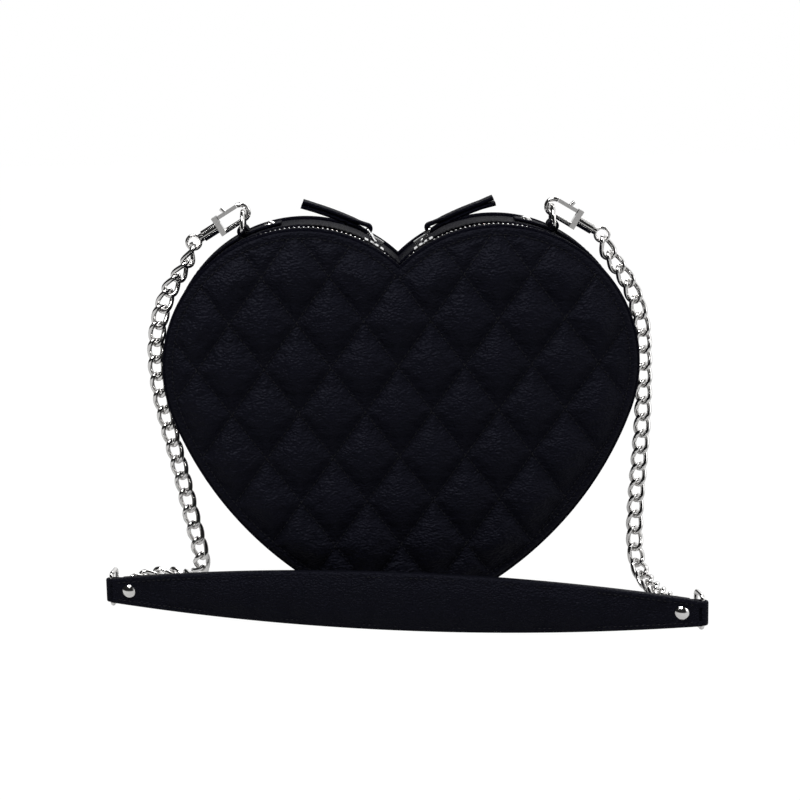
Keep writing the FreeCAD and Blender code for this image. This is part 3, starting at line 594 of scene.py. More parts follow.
def sewn(name, lines):
    """Stitches along lines of point and outward direction, each open or closed."""
    leather = bpy.context.scene.purse_leather
    points, outs, edges = [], [], []
    for line, closed in lines:
        start = len(points)
        points += [point for point, _ in line]
        outs += [out for _, out in line]
        edges += [(start + index, start + index + 1) for index in range(len(line) - 1)]
        if closed:
            edges.append((len(points) - 1, start))
    piece = points_with(name, points, edges, out=outs)
    finish = shared_finish("black_thread")
    size = (0.78 * leather.stitch_pitch, leather.thread, 0.8 * leather.thread)
    grown(piece, stitch_tree(), {"Pitch": leather.stitch_pitch, "Stitch Size": size, "Material": finish})
    return piece


def quilt_point(u, v):
    """From counts of diamonds along the two seam directions to the heart's plane."""
    leather = bpy.context.scene.purse_leather
    return (
        leather.quilt_x + leather.quilt_width * (u + v) / 2,
        leather.quilt_z + leather.quilt_height * (u - v) / 2,
    )


def heart_sheet(cells):
    """Triangles over the heart whose edges follow the seams, the rim and the outline."""
    count = 9 * cells
    i, j = np.meshgrid(np.arange(-count, count + 1), np.arange(-count, count + 1))
    x, z = quilt_point(i / cells, j / cells)
    spacing = bpy.context.scene.purse_leather.quilt_width / cells
    keep = edge_distance(x, z) > RIM + 0.45 * spacing
    seam = ((i % cells == 0) | (j % cells == 0))[keep]
    flat = [Vector(pair) for pair in zip(x[keep], z[keep])]
    edges = []
    for offset in (-RIM, -0.5 * RIM, -0.15 * MM):
        line = heart_line(offset, 0.9 * spacing)
        start = len(flat)
        flat += [Vector((px, pz)) for px, pz, _, _ in line]
        edges += [(start + k, start + (k + 1) % len(line)) for k in range(len(line))]
    points, _, faces, origins, _, _ = delaunay_2d_cdt(flat, edges, [], 1, 1e-7)
    sewn_down = np.array([any(k >= len(seam) or seam[k] for k in origin) for origin in origins])
    plane = np.array([tuple(point) for point in points])
    return plane[:, 0], plane[:, 1], faces, sewn_down


def diamond_slopes(x, z, inside):
    """Height of even slopes that rise from every seam and from the rim, from 0 to about 1."""
    leather = bpy.context.scene.purse_leather
    across = (x - leather.quilt_x) / leather.quilt_width
    up = (z - leather.quilt_z) / leather.quilt_height
    slopes = [2.0 * np.abs(line - np.round(line)) for line in (across + up, across - up)]
    slopes.append((inside - RIM) / RIM_EASE)
    return sum(np.maximum(slope, 1e-3) ** -4.0 for slope in slopes) ** -0.25


def swelling(faces, fixed):
    """Height of a skin held at its fixed points and pushed up evenly everywhere else, from 0 to 1."""
    triangles = np.array(faces)
    ends = np.concatenate([triangles[:, (0, 1)], triangles[:, (1, 2)], triangles[:, (2, 0)]])
    ends = np.concatenate([ends, ends[:, ::-1]])
    degree = np.bincount(ends[:, 0], minlength=len(fixed))
    height = np.zeros(len(fixed))
    for _ in range(SWELL_STEPS):
        height = (np.bincount(ends[:, 0], weights=height[ends[:, 1]], minlength=len(fixed)) + 1.0) / degree
        height[fixed] = 0.0
    return height / height.max()


def inflated(piece, fixed, pressure, growth, cap):
    """Lets leather swell and crease between its seams, each point's way eased to stay under the cap."""
    group = piece.vertex_groups.new(name="sewn down")
    group.add([int(index) for index in np.nonzero(fixed)[0]], 1.0, "REPLACE")
    cloth = piece.modifiers.new("Swelling", "CLOTH")
    for name, value in SWELL_CLOTH.items():
        setattr(cloth.settings, name, value)
    cloth.settings.vertex_group_mass = group.name
    cloth.settings.uniform_pressure_force = pressure
    cloth.settings.shrink_min = -growth
    cloth.settings.effector_weights.gravity = 0.0
    cloth.collision_settings.use_collision = False
    cloth.point_cache.frame_start = 1
    cloth.point_cache.frame_end = SWELL_FRAMES
    scene = bpy.context.scene
    for number in range(1, SWELL_FRAMES + 1):
        scene.frame_set(number)
    depsgraph = bpy.context.evaluated_depsgraph_get()
    shaped = piece.evaluated_get(depsgraph).to_mesh()
    before = np.empty(len(piece.data.vertices) * 3)
    after = before.copy()
    piece.data.vertices.foreach_get("co", before)
    shaped.vertices.foreach_get("co", after)
    move = (after - before).reshape(-1, 3)
    length = np.linalg.norm(move, axis=1)
    if not np.isfinite(length).all():
        raise RuntimeError(piece.name + " did not settle")
    move *= (cap * np.tanh(length / cap) / np.maximum(length, 1e-9))[:, None]
    piece.modifiers.remove(cloth)
    piece.vertex_groups.remove(group)
    scene.frame_set(1)
    piece.data.vertices.foreach_set("co", (before.reshape(-1, 3) + move).ravel())
    piece.data.update()


def closed_behind(piece, y):
    """Gives a sheet its edge and a flat face behind it."""
    form = bmesh.new()
    form.from_mesh(piece.data)
    rim = [edge for edge in form.edges if edge.is_boundary]
    wall = bmesh.ops.extrude_edge_only(form, edges=rim)["geom"]
    for point in (item for item in wall if isinstance(item, bmesh.types.BMVert)):
        point.co.y = y
    hem = [edge for edge in form.edges if edge.is_boundary]
    back = bmesh.ops.edgeloop_fill(form, edges=hem)["faces"]
    bmesh.ops.triangulate(form, faces=back)
    bmesh.ops.recalc_face_normals(form, faces=form.faces[:])
    form.to_mesh(piece.data)
    form.free()
    piece.data.shade_smooth()


def grounded(piece):
    """Flat where the piece meets the floor."""
    for point in piece.data.vertices:
        point.co.z = max(point.co.z, 0.0)


def front_depth(inside):
    """How far the sewn down leather stands in front of the bag's middle."""
    leather = bpy.context.scene.purse_leather
    edge = 0.8 * MM * np.sin(np.pi * np.clip(inside / RIM, 0.0, 1.0))
    return HALF_DEPTH + edge + leather.seam_rise * smooth_step((inside - RIM) / RIM_EASE)


def crown_store(piece, values):
    store = piece.data.attributes.new("crown", "FLOAT", "POINT")
    store.data.foreach_set("value", values)


def make_quilted_front():
    leather = bpy.context.scene.purse_leather
    x, z, faces, sewn_down = heart_sheet(leather.quilt_cells)
    inside = edge_distance(x, z)
    height = 0.4 * swelling(faces, sewn_down) ** 0.7 + 0.6 * diamond_slopes(x, z, inside)
    y = -front_depth(inside) - leather.puff * height
    piece = piece_from("quilted_front", np.column_stack([x, y, z]).tolist(), faces)
    crown_store(piece, height)
    inflated(piece, sewn_down, leather.pressure, leather.slack, leather.puff_cap)
    closed_behind(piece, -HALF_DEPTH + PLATE_T)
    grounded(piece)
    finish = shared_finish("panel_leather")
    dress(piece, "bag", "leather", finish, "front_panel", "front_padding", "front_backing")


def make_back_panel():
    x, z, faces, sewn_down = heart_sheet(5)
    inside = edge_distance(x, z)
    y = HALF_DEPTH + 0.5 * MM * np.sin(np.pi * np.clip(inside / RIM, 0.0, 1.0))
    y += 0.9 * MM * smooth_step((inside - RIM) / (30.0 * MM))
    turned = [tuple(reversed(face)) for face in faces]
    piece = piece_from("back_leather", np.column_stack([x, y, z]).tolist(), turned)
    closed_behind(piece, HALF_DEPTH - PLATE_T)
    grounded(piece)
    dress(piece, "bag", "leather", shared_finish("panel_leather"), "back_panel", "back_stiffener")


def along_heart(line, y):
    """Outline points as places at a depth with their outward directions."""
    return [(Vector((x, y, z)), Vector((nx, 0.0, nz))) for x, z, nx, nz in line]


def heart_strip(name, line, y0, y1, thick, count=6):
    """A strip that follows part of the outline between two depths."""
    half = (y1 - y0) / 2
    stations = [(place, out, BACKWARD, half, thick) for place, out in along_heart(line, (y0 + y1) / 2)]
    return ribbon(name, stations, count)


def top_line(offset, step, lowest):
    """The outline over both lobes, from the left side up to the notch and down the right side."""
    half = [row for row in heart_half(offset, step) if row[1] >= lowest]
    left = [(-x, z, -nx, nz) for x, z, nx, nz in reversed(half)]
    return left + half[1:]


def bottom_line(offset, step, highest):
    """The outline from one side round the tip to the other."""
    half = heart_half(offset, step)
    first = [index for index, row in enumerate(half) if row[1] <= highest and row[0] > LOBE_X][0]
    low = half[first:]
    return low + [(-x, z, -nx, nz) for x, z, nx, nz in reversed(low[:-1])]


def make_gusset():
    """The plain band round the bottom, lapped over the two leather strips beside the zip."""
    finish = shared_finish("trim_leather")
    reach = HALF_DEPTH - 1.5 * MM
    low = bottom_line(-GUSSET_IN, 3.0 * MM, GUSSET_TOP)
    band = heart_strip("gusset_band", low, -reach, reach, GUSSET_T, 12)
    grounded(band)
    dress(band, "bag", "leather", finish, "gusset_lower")
    line = top_line(-STRIP_IN, 2.5 * MM, STRIP_LOW)
    for name, first, last in (("front", -reach, ZIP_Y - ZIP_SLOT), ("back", ZIP_Y + ZIP_SLOT, reach)):
        edge = heart_strip("zip_edge_" + name, line, first, last, EDGE_T)
        dress(edge, "bag", "leather", finish, "zip_strip_" + name)


def make_edge_beads():
    """A rounded roll of leather round the front and the back."""
    finish = shared_finish("trim_leather")
    line = heart_line(0.0, 2.0 * MM)
    for name, y in (("front", -HALF_DEPTH + BEAD_IN), ("back", HALF_DEPTH - BEAD_IN)):
        loops = []
        for x, z, nx, nz in line:
            loop = []
            for turn in range(12):
                angle = 2 * math.pi * turn / 12
                reach = BEAD_R * math.cos(angle) - 0.05 * MM
                px = x + nx * reach
                if px * x < 0:
                    px = 0.0
                loop.append(Vector((px, y + BEAD_R * math.sin(angle), max(z + nz * reach, 0.0))))
            loops.append(loop)
        bead = loft("edge_bead_" + name, loops, closed=True)
        dress(bead, "bag", "leather", finish, "piping_" + name)


def heart_plate(name, offset, y0, y1):
    line = heart_line(offset, 3.0 * MM)
    loops = [[Vector((x, y, z)) for x, z, _, _ in line] for y in (y0, y1)]
    return loft(name, loops)


def make_lining():
    """A thin cloth pouch, open under the zip."""
    reach = HALF_DEPTH - 3.4 * MM
    low = lobe_point(LOBE_R, ZIP_END, 0.0).z
    under = bottom_line(-LINING_IN, 4.0 * MM, low)
    over = top_line(-LINING_IN, 4.0 * MM, low)
    pieces = [
        heart_plate("lining_a", -2.5 * MM, -reach - LINING_T, -reach),
        heart_plate("lining_b", -2.5 * MM, reach, reach + LINING_T),
        heart_strip("lining_c", under, -reach, reach, LINING_T),
        heart_strip("lining_d", over, -reach, ZIP_Y - ZIP_SLOT, LINING_T),
        heart_strip("lining_e", over, ZIP_Y + ZIP_SLOT, reach, LINING_T),
    ]
    lining = joined("lining_pouch", pieces)
    finish = shared_finish("lining_weave")
    dress(lining, "bag", "lining", finish, "lining_front", "lining_back", "lining_gusset")


def tooth_shape(metal):
    """One zip tooth with eased edges, long in X, wide in Y and high in Z."""
    form = bmesh.new()
    bmesh.ops.create_cube(form, size=1.0)
    size = (metal.tooth_length, metal.tooth_width, metal.tooth_height)
    bmesh.ops.scale(form, vec=size, verts=form.verts[:])
    upright = [edge for edge in form.edges if edge.verts[0].co.z * edge.verts[1].co.z > 0]
    bmesh.ops.bevel(form, geom=upright, offset=0.32 * MM, segments=1, affect="EDGES")
    mesh = bpy.data.meshes.new("tooth")
    form.to_mesh(mesh)
    form.free()
    return bpy.data.objects.new("tooth", mesh)


def make_zip():
    """Woven tapes and two rows of metal teeth."""
    metal = bpy.context.scene.purse_metal
    step = math.degrees(metal.tooth_pitch / TEETH_PITCH_R)
    low = lobe_point(LOBE_R, ZIP_END - 2.0, 0.0).z
    near = TEETH_GAP + metal.tooth_width
    line = top_line(TEETH_R - LOBE_R, 2.5 * MM, low)
    for name, side in (("front", -1), ("back", 1)):
        ends = sorted((ZIP_Y + side * near, ZIP_Y + side * (near + TAPE_W)))
        tape = heart_strip("zip_weave_" + name, line, *ends, 0.6 * MM)
        dress(tape, "bag", "zip_tape", shared_finish("zip_tape_weave"), "zip_tape_" + name)
        rows = []
        degrees = FIRST_TOOTH + (step / 2 if side > 0 else 0.0)
        y = ZIP_Y + side * (near - metal.tooth_width / 2)
        while degrees <= LAST_TOOTH:
            for _, sign in SIDES:
                out = lobe_out(degrees, sign)
                along = Vector((out.z, 0.0, -out.x))
                rows.append((lobe_point(TEETH_R, degrees, y, sign), along, out))
            degrees += step
        finish = shared_finish("zip_nickel")
        teeth = repeated("zip_row_" + name, tooth_shape(metal), rows, finish)
        dress(teeth, "bag", "zip_metal", finish, "zip_teeth_" + name)


def tab_line(flare):
    """Middle of the leather from one free end, round the puller's bar, to the other."""
    layers = []
    for side in (1, -1):
        layer = []
        for index in range(25):
            run = TAB_START + (TAB_L - TAB_START) * index / 24
            part = run / TAB_L
            gap = TAB_GAP + flare * max(0.0, part - 0.8) / 0.2
            ease = max(0.0, 1.0 - run / (9.0 * MM)) ** 2
            bow = TAB_BOW * math.sin(math.pi * part)
            layer.append((run, side * (gap + ease * (TAB_BEND - gap)) + bow))
        layers.append(layer)
    fold = []
    for index in range(1, 12):
        angle = math.radians(70 + 220 * index / 12)
        fold.append((TAB_BEND * math.cos(angle), TAB_BEND * math.sin(angle)))
    return list(reversed(layers[0])), fold, layers[1]


def tab_half_width(run):
    part = float(smooth_step((run - 5.0 * MM) / (3.5 * MM)))
    return TAB_NECK + (TAB_HALF - TAB_NECK) * part


def tab_place(run, up, across, sign):
    rise = math.radians(TAB_RISE)
    x = TAB_X + run * math.cos(rise) - up * math.sin(rise)
    z = TAB_Z + run * math.sin(rise) + up * math.cos(rise)
    return Vector((sign * x, ZIP_Y + across, z))


def make_pull_tabs():
    """Leather folded round each puller, its two layers sewn together."""
    finish = shared_finish("trim_leather")
    for side, sign in SIDES:
        upper, fold, lower = tab_line(TAB_FLARE[side])
        flat = upper + fold + lower
        places = [tab_place(run, up, 0.0, sign) for run, up in flat]
        stations = []
        for index, place in enumerate(places):
            ahead = places[min(index + 1, len(places) - 1)] - places[max(index - 1, 0)]
            out = ahead.cross(BACKWARD).normalized()
            stations.append((place, out, BACKWARD, tab_half_width(flat[index][0]), TAB_LEATHER))
        tab = ribbon("pull_leather_" + side, stations)
        dress(tab, "tab_" + side, "leather", finish, "pull_tab_" + side)


def strip_path(side):
    """Middle line of a side tab down the lobe, with its outward directions."""
    end, tail = SIDE_TABS[side]
    path = []
    count = 40
    for index in range(count + 1):
        degrees = STRIP_START + (end - STRIP_START) * index / count
        path.append((lobe_point(STRIP_MID, degrees, ANCHOR_Y), lobe_out(degrees)))
    out = lobe_out(end)
    down = Vector((out.z, 0.0, -out.x))
    for index in range(1, 13):
        path.append((path[count][0] + down * (tail * index / 12), out))
    return path


def signed(vector, sign):
    return Vector((sign * vector.x, vector.y, vector.z))


def make_strap_anchors():
    """On each lobe: leather folded round the ring's bar, and its tail down the side."""
    finish = shared_finish("trim_leather")
    for side, sign in SIDES:
        path = strip_path(side)
        stations = []
        for place, out in path:
            left = (path[-1][0] - place).length
            half = STRIP_W / 2
            if left < STRIP_END:
                half -= STRIP_END - math.sqrt(max(0.0, STRIP_END**2 - (STRIP_END - left) ** 2))
            stations.append((signed(place, sign), signed(out, sign), BACKWARD, half, STRIP_T))
        strip = ribbon("side_leather_" + side, stations)
        dress(strip, "bag", "leather", finish, "side_tab_" + side)
        stations = []
        for index in range(17):
            degrees = CHAPE_FROM - (CHAPE_FROM - ANCHOR_ANGLE) * index / 16
            stations.append((lobe_point(STRIP_MID, degrees, ANCHOR_Y, sign), lobe_out(degrees, sign)))
        bar = lobe_point(BAR_MID, ANCHOR_ANGLE, ANCHOR_Y)
        for index in range(1, 25):
            out = lobe_out(ANCHOR_ANGLE + 180.0 + CHAPE_WRAP * index / 24)
            stations.append((signed(bar + out * (BAR_MID - STRIP_MID), sign), signed(-out, sign)))
        fold = ribbon("ring_leather_" + side, [(*row, BACKWARD, STRIP_W / 2, STRIP_T) for row in stations])
        dress(fold, "bag", "leather", finish, "chape_" + side)


def link_shape(metal):
    """One curb link: an oval of round wire, twisted so that its neighbours lie flat beside it."""
    long, wide, twist = metal.link_length / 2, metal.link_width / 2, metal.link_twist
    loops = []
    for index in range(LINK_STEPS):
        angle = 2 * math.pi * index / LINK_STEPS
        cosine, sine = math.cos(angle), math.sin(angle)
        middle = Vector((long * cosine, wide * sine, twist * math.sin(2 * angle)))
        ahead = Vector((-long * sine, wide * cosine, 2 * twist * math.cos(2 * angle))).normalized()
        side = ahead.cross(UPWARD).normalized()
        up = side.cross(ahead)
        loop = []
        for turn in range(WIRE_SIDES):
            round_angle = 2 * math.pi * turn / WIRE_SIDES
            reach = side * math.cos(round_angle) + up * math.sin(round_angle)
            loop.append(middle + reach * (metal.link_wire / 2))
        loops.append(loop)
    link = loft("link", loops, closed=True)
    bpy.context.scene.collection.objects.unlink(link)
    return link


def link_middles(node):
    """Middle of each link of the stored chain, in order from the clasp."""
    form = bmesh.new()
    form.from_mesh(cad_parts[node].data)
    bmesh.ops.remove_doubles(form, verts=form.verts[:], dist=1e-6)
    waiting = set(form.verts)
    middles = []
    for first in form.verts:
        if first not in waiting:
            continue
        waiting.remove(first)
        island = [first]
        for point in island:
            for edge in point.link_edges:
                other = edge.other_vert(point)
                if other in waiting:
                    waiting.remove(other)
                    island.append(other)
        low = Vector([min(point.co[axis] for point in island) for axis in range(3)])
        high = Vector([max(point.co[axis] for point in island) for axis in range(3)])
        middles.append((low + high) / 2)
    form.free()
    ordered = [max(middles, key=lambda place: place.z)]
    middles.remove(ordered[0])
    while middles:
        ordered.append(min(middles, key=lambda place: (place - ordered[-1]).length))
        middles.remove(ordered[-1])
    return ordered


def make_chains():
    """Curb chains along the stored links, hanging flat to the front and lying flat on the floor."""
    metal = bpy.context.scene.purse_metal
    finish = shared_finish("bright_nickel")
    for side, sign in SIDES:
        middles = link_middles("chain_" + side)
        rows = []
        out = FORWARD
        for index, place in enumerate(middles):
            if index:
                along = middles[min(index + 1, len(middles) - 1)] - middles[index - 1]
            else:
                along = place - signed(EYE_MID, sign)
            along.normalize()
            out = (out - along * along.dot(out)).normalized()
            lean = math.radians(LINK_LEAN[side]) * max(0.0, 1.0 - index / LEANING_LINKS)
            rows.append((place, along, Matrix.Rotation(lean, 3, along) @ out))
        chain = repeated("curb_chain_" + side, link_shape(metal), rows, finish)
        dress(chain, "strap", "hardware", finish, "chain_" + side)


def pad_half_width(x):
    """Half the pad's width: an arc from its middle to its ends."""
    drop = PAD_HALF - PAD_END_HALF
    radius = (PAD_REACH**2 + drop**2) / (2 * drop)
    return PAD_HALF - radius + np.sqrt(radius**2 - x**2)


def pad_grid(front):
    """Rows of points over one face of the pad, in its own directions."""
    columns = np.linspace(-PAD_REACH, PAD_REACH, 181)
    rows = np.linspace(-1.0, 1.0, 19)
    part, x = np.meshgrid(rows, columns)
    half = pad_half_width(x)
    z = part * half
    margin = (half - np.abs(z)) / MM
    hem = 0.3 * MM * np.sin(np.pi * np.clip(margin * MM / PAD_HEM, 0.0, 1.0))
    ends = PAD_REACH - np.abs(x)
    if front:
        crown = smooth_step((margin - 2.0) / 7.0) * smooth_step((ends - 16.0 * MM) / (60.0 * MM))
        y = -PAD_FACE - hem - PAD_CROWN * crown
    else:
        y = (PAD_REAR + 0.2 * hem) * smooth_step((ends - 5.0 * MM) / (2.0 * MM))
    return x, y, z, margin


def make_shoulder_pad():
    """A padded leather strap, wide in its middle, folded round a ring at each end."""
    finish = shared_finish("strap_leather")
    leather = bpy.context.scene.purse_leather
    x, y, z, margin = pad_grid(True)
    wide, high = x.shape
    faces = []
    for a in range(wide - 1):
        for b in range(high - 1):
            k = a * high + b
            faces.append((k, k + high, k + high + 1, k + 1))
    front = np.column_stack([x.ravel(), y.ravel(), z.ravel()])
    pad = piece_from("shoulder_pad", front.tolist(), faces)
    held = (margin.ravel() < 2.4) | (np.abs(x.ravel()) > PAD_REACH - 18.0 * MM)
    inflated(pad, held, leather.pressure, 0.6 * leather.slack, 1.2 * MM)
    rear_x, rear_y, rear_z, _ = pad_grid(False)
    rear = np.column_stack([rear_x.ravel(), rear_y.ravel(), rear_z.ravel()])
    points = [tuple(point.co) for point in pad.data.vertices] + rear.tolist()
    skip = len(front)
    faces += [tuple(reversed([corner + skip for corner in face])) for face in faces]
    border = list(range(high))
    border += [a * high + high - 1 for a in range(1, wide)]
    border += [(wide - 1) * high + b for b in range(high - 2, -1, -1)]
    border += [a * high for a in range(wide - 2, 0, -1)]
    for index, here in enumerate(border):
        there = border[(index + 1) % len(border)]
        faces.append((here, there, there + skip, here + skip))
    bpy.data.objects.remove(pad)
    pad = piece_from("shoulder_pad", points, faces)
    pad.data.transform(PAD_PLACE)
    faces_outward(pad)
    grounded(pad)
    dress(pad, "strap", "leather", finish, "strap_outer", "strap_core", "strap_backing")
    make_ring_loops(finish)


def make_ring_loops(finish):
    """The pad's ends, folded round their rings and sewn down behind."""
    for side, sign in SIDES:
        flat = [(PAD_REACH - 1.5 * MM, -0.8 * MM, 0.0, -1.0)]
        for index in range(13):
            angle = math.radians(-90.0 + 180.0 * index / 12)
            out = (math.cos(angle), math.sin(angle))
            flat.append((PAD_REACH + PAD_BEND * out[0], PAD_REAR / 2 + PAD_BEND * out[1], *out))
        flat += [(PAD_REACH - PAD_LAP * index / 8, PAD_REAR / 2 + PAD_BEND, 0.0, 1.0) for index in range(1, 9)]
        stations = []
        for px, py, nx, ny in flat:
            place = PAD_PLACE @ Vector((sign * px, py, 0.0))
            out = PAD_PLACE.to_3x3() @ Vector((sign * nx, ny, 0.0))
            stations.append((place, out, UPWARD, PAD_END_HALF, STRIP_T))
        loop = ribbon("ring_loop_" + side, stations)
        dress(loop, "strap", "leather", finish)


def seam_lines():
    """The quilting seams, from rim to rim."""
    leather = bpy.context.scene.purse_leather
    cells = leather.quilt_cells
    lines = []
    steps = np.arange(-9 * cells, 9 * cells + 1) / cells
    for count in range(-9, 10):
        same = np.full(len(steps), float(count))
        for u, v in ((same, steps), (steps, same)):
            x, z = quilt_point(u, v)
            inside = edge_distance(x, z)
            depth = front_depth(inside) + leather.stitch_lift
            line = []
            for index in range(len(steps)):
                if inside[index] > RIM + 0.8 * MM:
                    line.append((Vector((x[index], -depth[index], z[index])), FORWARD))
                elif line:
                    lines.append((line, False))
                    line = []
    return [(line, closed) for line, closed in lines if len(line) > 3]


def strip_lines(path, inset, lift):
    """Two lines along a strip, one to each side of its middle."""
    sides = (BACKWARD * -inset, BACKWARD * inset)
    return [([(place + aside + out * lift, out) for place, out in path], False) for aside in sides]


def make_bag_stitches():
    lift = bpy.context.scene.purse_leather.stitch_lift
    lines = seam_lines()
    for face in (-1.0, 1.0):
        rim = []
        for x, z, _, _ in heart_line(-RIM, 1.5 * MM):
            rim.append((Vector((x, face * (HALF_DEPTH + lift), z)), BACKWARD * face))
        lines.append((rim, True))
    over = top_line(-0.2 * MM, 1.5 * MM, GUSSET_TOP)
    for y in (ZIP_Y - ZIP_SLOT - EDGE_T, ZIP_Y + ZIP_SLOT + EDGE_T):
        lines.append((along_heart(over, y), False))
    for side, sign in SIDES:
        place = lobe_point(LOBE_R + 0.1 * MM, GUSSET_SEAM, 0.0, sign)
        out = lobe_out(GUSSET_SEAM, sign)
        for first, last in ((-27.0 * MM, 5.0 * MM), (19.0 * MM, 27.0 * MM)):
            count = int((last - first) / MM)
            lines.append(([(place + BACKWARD * (first + MM * k), out) for k in range(count + 1)], False))
        path = [(signed(place, sign), signed(out, sign)) for place, out in strip_path(side)[2:-2]]
        lines += strip_lines(path, STRIP_SEAM, STRIP_T / 2 + 0.05 * MM)
    piece = sewn("bag_stitches", lines)
    dress(piece, "bag", "leather", shared_finish("black_thread"))


def make_tab_stitches():
    rise = math.radians(TAB_RISE)
    for side, sign in SIDES:
        upper, _, lower = tab_line(TAB_FLARE[side])
        lines = []
        for layer, turn in ((upper, 1), (lower, -1)):
            out = Vector((-sign * turn * math.sin(rise), 0.0, turn * math.cos(rise)))
            kept = [(run, up) for run, up in layer if 10.0 * MM < run < 34.5 * MM]
            path = [(tab_place(run, up, 0.0, sign), out) for run, up in kept]
            lines += strip_lines(path, TAB_SEAM, 0.43 * TAB_LEATHER)
        piece = sewn("tab_stitches_" + side, lines)
        dress(piece, "tab_" + side, "leather", shared_finish("black_thread"))


def make_strap_stitches():
    lines = []
    columns = np.linspace(-PAD_REACH + 5.0 * MM, PAD_REACH - 5.0 * MM, 160)
    for face, y in ((-1.0, -1.72 * MM), (1.0, 2.6 * MM)):
        reach = columns if face < 0 else columns[4:-4]
        for edge in (-1.0, 1.0):
            line = []
            for x in reach:
                place = PAD_PLACE @ Vector((x, y, edge * (pad_half_width(x) - PAD_HEM)))
                line.append((place, PAD_PLACE.to_3x3() @ (BACKWARD * face)))
            lines.append((line, False))
    piece = sewn("strap_stitches", lines)
    dress(piece, "strap", "leather", shared_finish("black_thread"))


def give_finish(names, finish):
    for name in names:
        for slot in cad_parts[name].material_slots:
            slot.material = finish


def polish_fittings():
    """The metal fittings keep their stored shapes and get their finish."""
    give_finish(("anchor_rivets", "strap_rivets"), shared_finish("bright_nickel"))
    give_finish(("zip_stops",), shared_finish("zip_nickel"))
    fittings = ("d_ring_", "clasp_hook_", "clasp_trigger_", "trigger_pin_", "clasp_swivel_", "strap_ring_")
    for side, _ in SIDES:
        give_finish([name + side for name in fittings], shared_finish("bright_nickel"))
        give_finish(["zip_slider_" + side, "zip_puller_" + side], shared_finish("zip_nickel"))


def studio_floor(stage):
    corners = [(x * FLOOR_REACH, y * FLOOR_REACH, 0.0) for x, y in ((-1, -1), (1, -1), (1, 1), (-1, 1))]
    floor = piece_from("floor", corners, [(0, 1, 2, 3)])
    material, pen, surface, place = new_finish("pale_floor")
    grain = noise(pen, place, 40.0, 2.0)
    pale = (0.44, 0.44, 0.44, 1.0)
    pen.feed(surface.inputs["Base Color"], colour_mix(pen, grain, (0.4, 0.4, 0.4, 1.0), pale))
    surface.inputs["Roughness"].default_value = 0.8
    camera, gloss, through = [pen.add("ShaderNodeLightPath", {}, {}, ray) for ray in SHOWN_RAYS]
    shown = camera + gloss * FLOOR_GLOSS + through
    white = pen.add("ShaderNodeEmission", {}, {"Color": (1.0, 1.0, 1.0, 1.0), "Strength": 1.05})
    plain = Shade(material.node_tree, surface.outputs["BSDF"])
    mixed = pen.add("ShaderNodeMixShader", {}, {0: shown * stage.floor_white, 1: plain, 2: white})
    pen.feed(material.node_tree.nodes["Material Output"].inputs["Surface"], mixed)
    floor.data.materials.append(material)


def studio_world(stage):
    """White all round for the camera; for gloss, white to the right of the bag and behind it only."""
    world = bpy.data.worlds.new("studio")
    world.use_nodes = True
    bpy.context.scene.world = world
    tree = world.node_tree
    pen = Shade(tree)
    camera, gloss, through = [pen.add("ShaderNodeLightPath", {}, {}, ray) for ray in SHOWN_RAYS]
    seen = camera + through
    place = pen.add("ShaderNodeTexCoord", {}, {}, "Generated")
    right, depth = [pen.add("ShaderNodeSeparateXYZ", {}, {0: place}, axis) for axis in "XY"]
    ramp = {"Value": depth * 0.6 + right, "From Min": 0.1, "From Max": 0.6, "To Min": 0.015, "To Max": 1.0}
    panel = pen.add("ShaderNodeMapRange", {"interpolation_type": "SMOOTHSTEP"}, ramp)
    other = (1.0 - gloss) * stage.dome + gloss * panel
    strength = seen + (1.0 - seen) * other
    background = tree.nodes["Background"]
    pen.feed(background.inputs["Strength"], strength)
    background.inputs["Color"].default_value = (1.0, 1.0, 1.0, 1.0)


def soft_light(name, place, aim, size, power):
    lamp = bpy.data.lights.new(name, "AREA")
    lamp.shape = "RECTANGLE"
    lamp.size, lamp.size_y = size
    lamp.energy = power
    light = bpy.data.objects.new(name, lamp)
    light.location = place
    light.rotation_euler = (Vector(aim) - Vector(place)).to_track_quat("-Z", "Y").to_euler()
    bpy.context.scene.collection.objects.link(light)


def studio_camera(stage):
    around = math.radians(stage.azimuth)
    above = math.radians(stage.elevation)
    roll = math.radians(stage.roll)
    level = Vector((math.sin(around), -math.cos(around), 0.0))
    back = level * math.cos(above) + UPWARD * math.sin(above)
    right = Vector((math.cos(around), math.sin(around), 0.0))
    up = back.cross(right)
    tilted_right = right * math.cos(roll) + up * math.sin(roll)
    tilted_up = up * math.cos(roll) - right * math.sin(roll)
    lens = bpy.data.cameras.new("camera")
    lens.lens = stage.lens
    lens.sensor_width = 36.0
    camera = bpy.data.objects.new("camera", lens)
    turn = Matrix((tilted_right, tilted_up, back)).transposed().to_4x4()
    camera.matrix_world = Matrix.Translation(Vector(stage.target) + back * stage.distance) @ turn
    bpy.context.scene.collection.objects.link(camera)
    bpy.context.scene.camera = camera


def make_studio():
    stage = bpy.context.scene.purse_stage
    studio_floor(stage)
    studio_world(stage)
    soft_light("key", (-0.4, -0.55, 1.4), (0.0, 0.0, 0.1), (0.9, 0.6), stage.key)
    soft_light("fill", (1.1, -0.5, 0.7), (0.0, 0.0, 0.1), (0.7, 0.7), 0.12 * stage.key)
    soft_light("rim", (0.3, 0.9, 1.0), (0.0, 0.0, 0.15), (1.0, 0.4), 0.3 * stage.key)
    studio_camera(stage)
    bpy.context.scene.view_settings.view_transform = "Standard"


def number_prop(label, text, value, **kind):
    return bpy.props.FloatProperty(name=label, description=text, default=value, **kind)


def length_prop(label, text, value):
    return number_prop(label, text, value, subtype="DISTANCE", unit="LENGTH", precision=5)


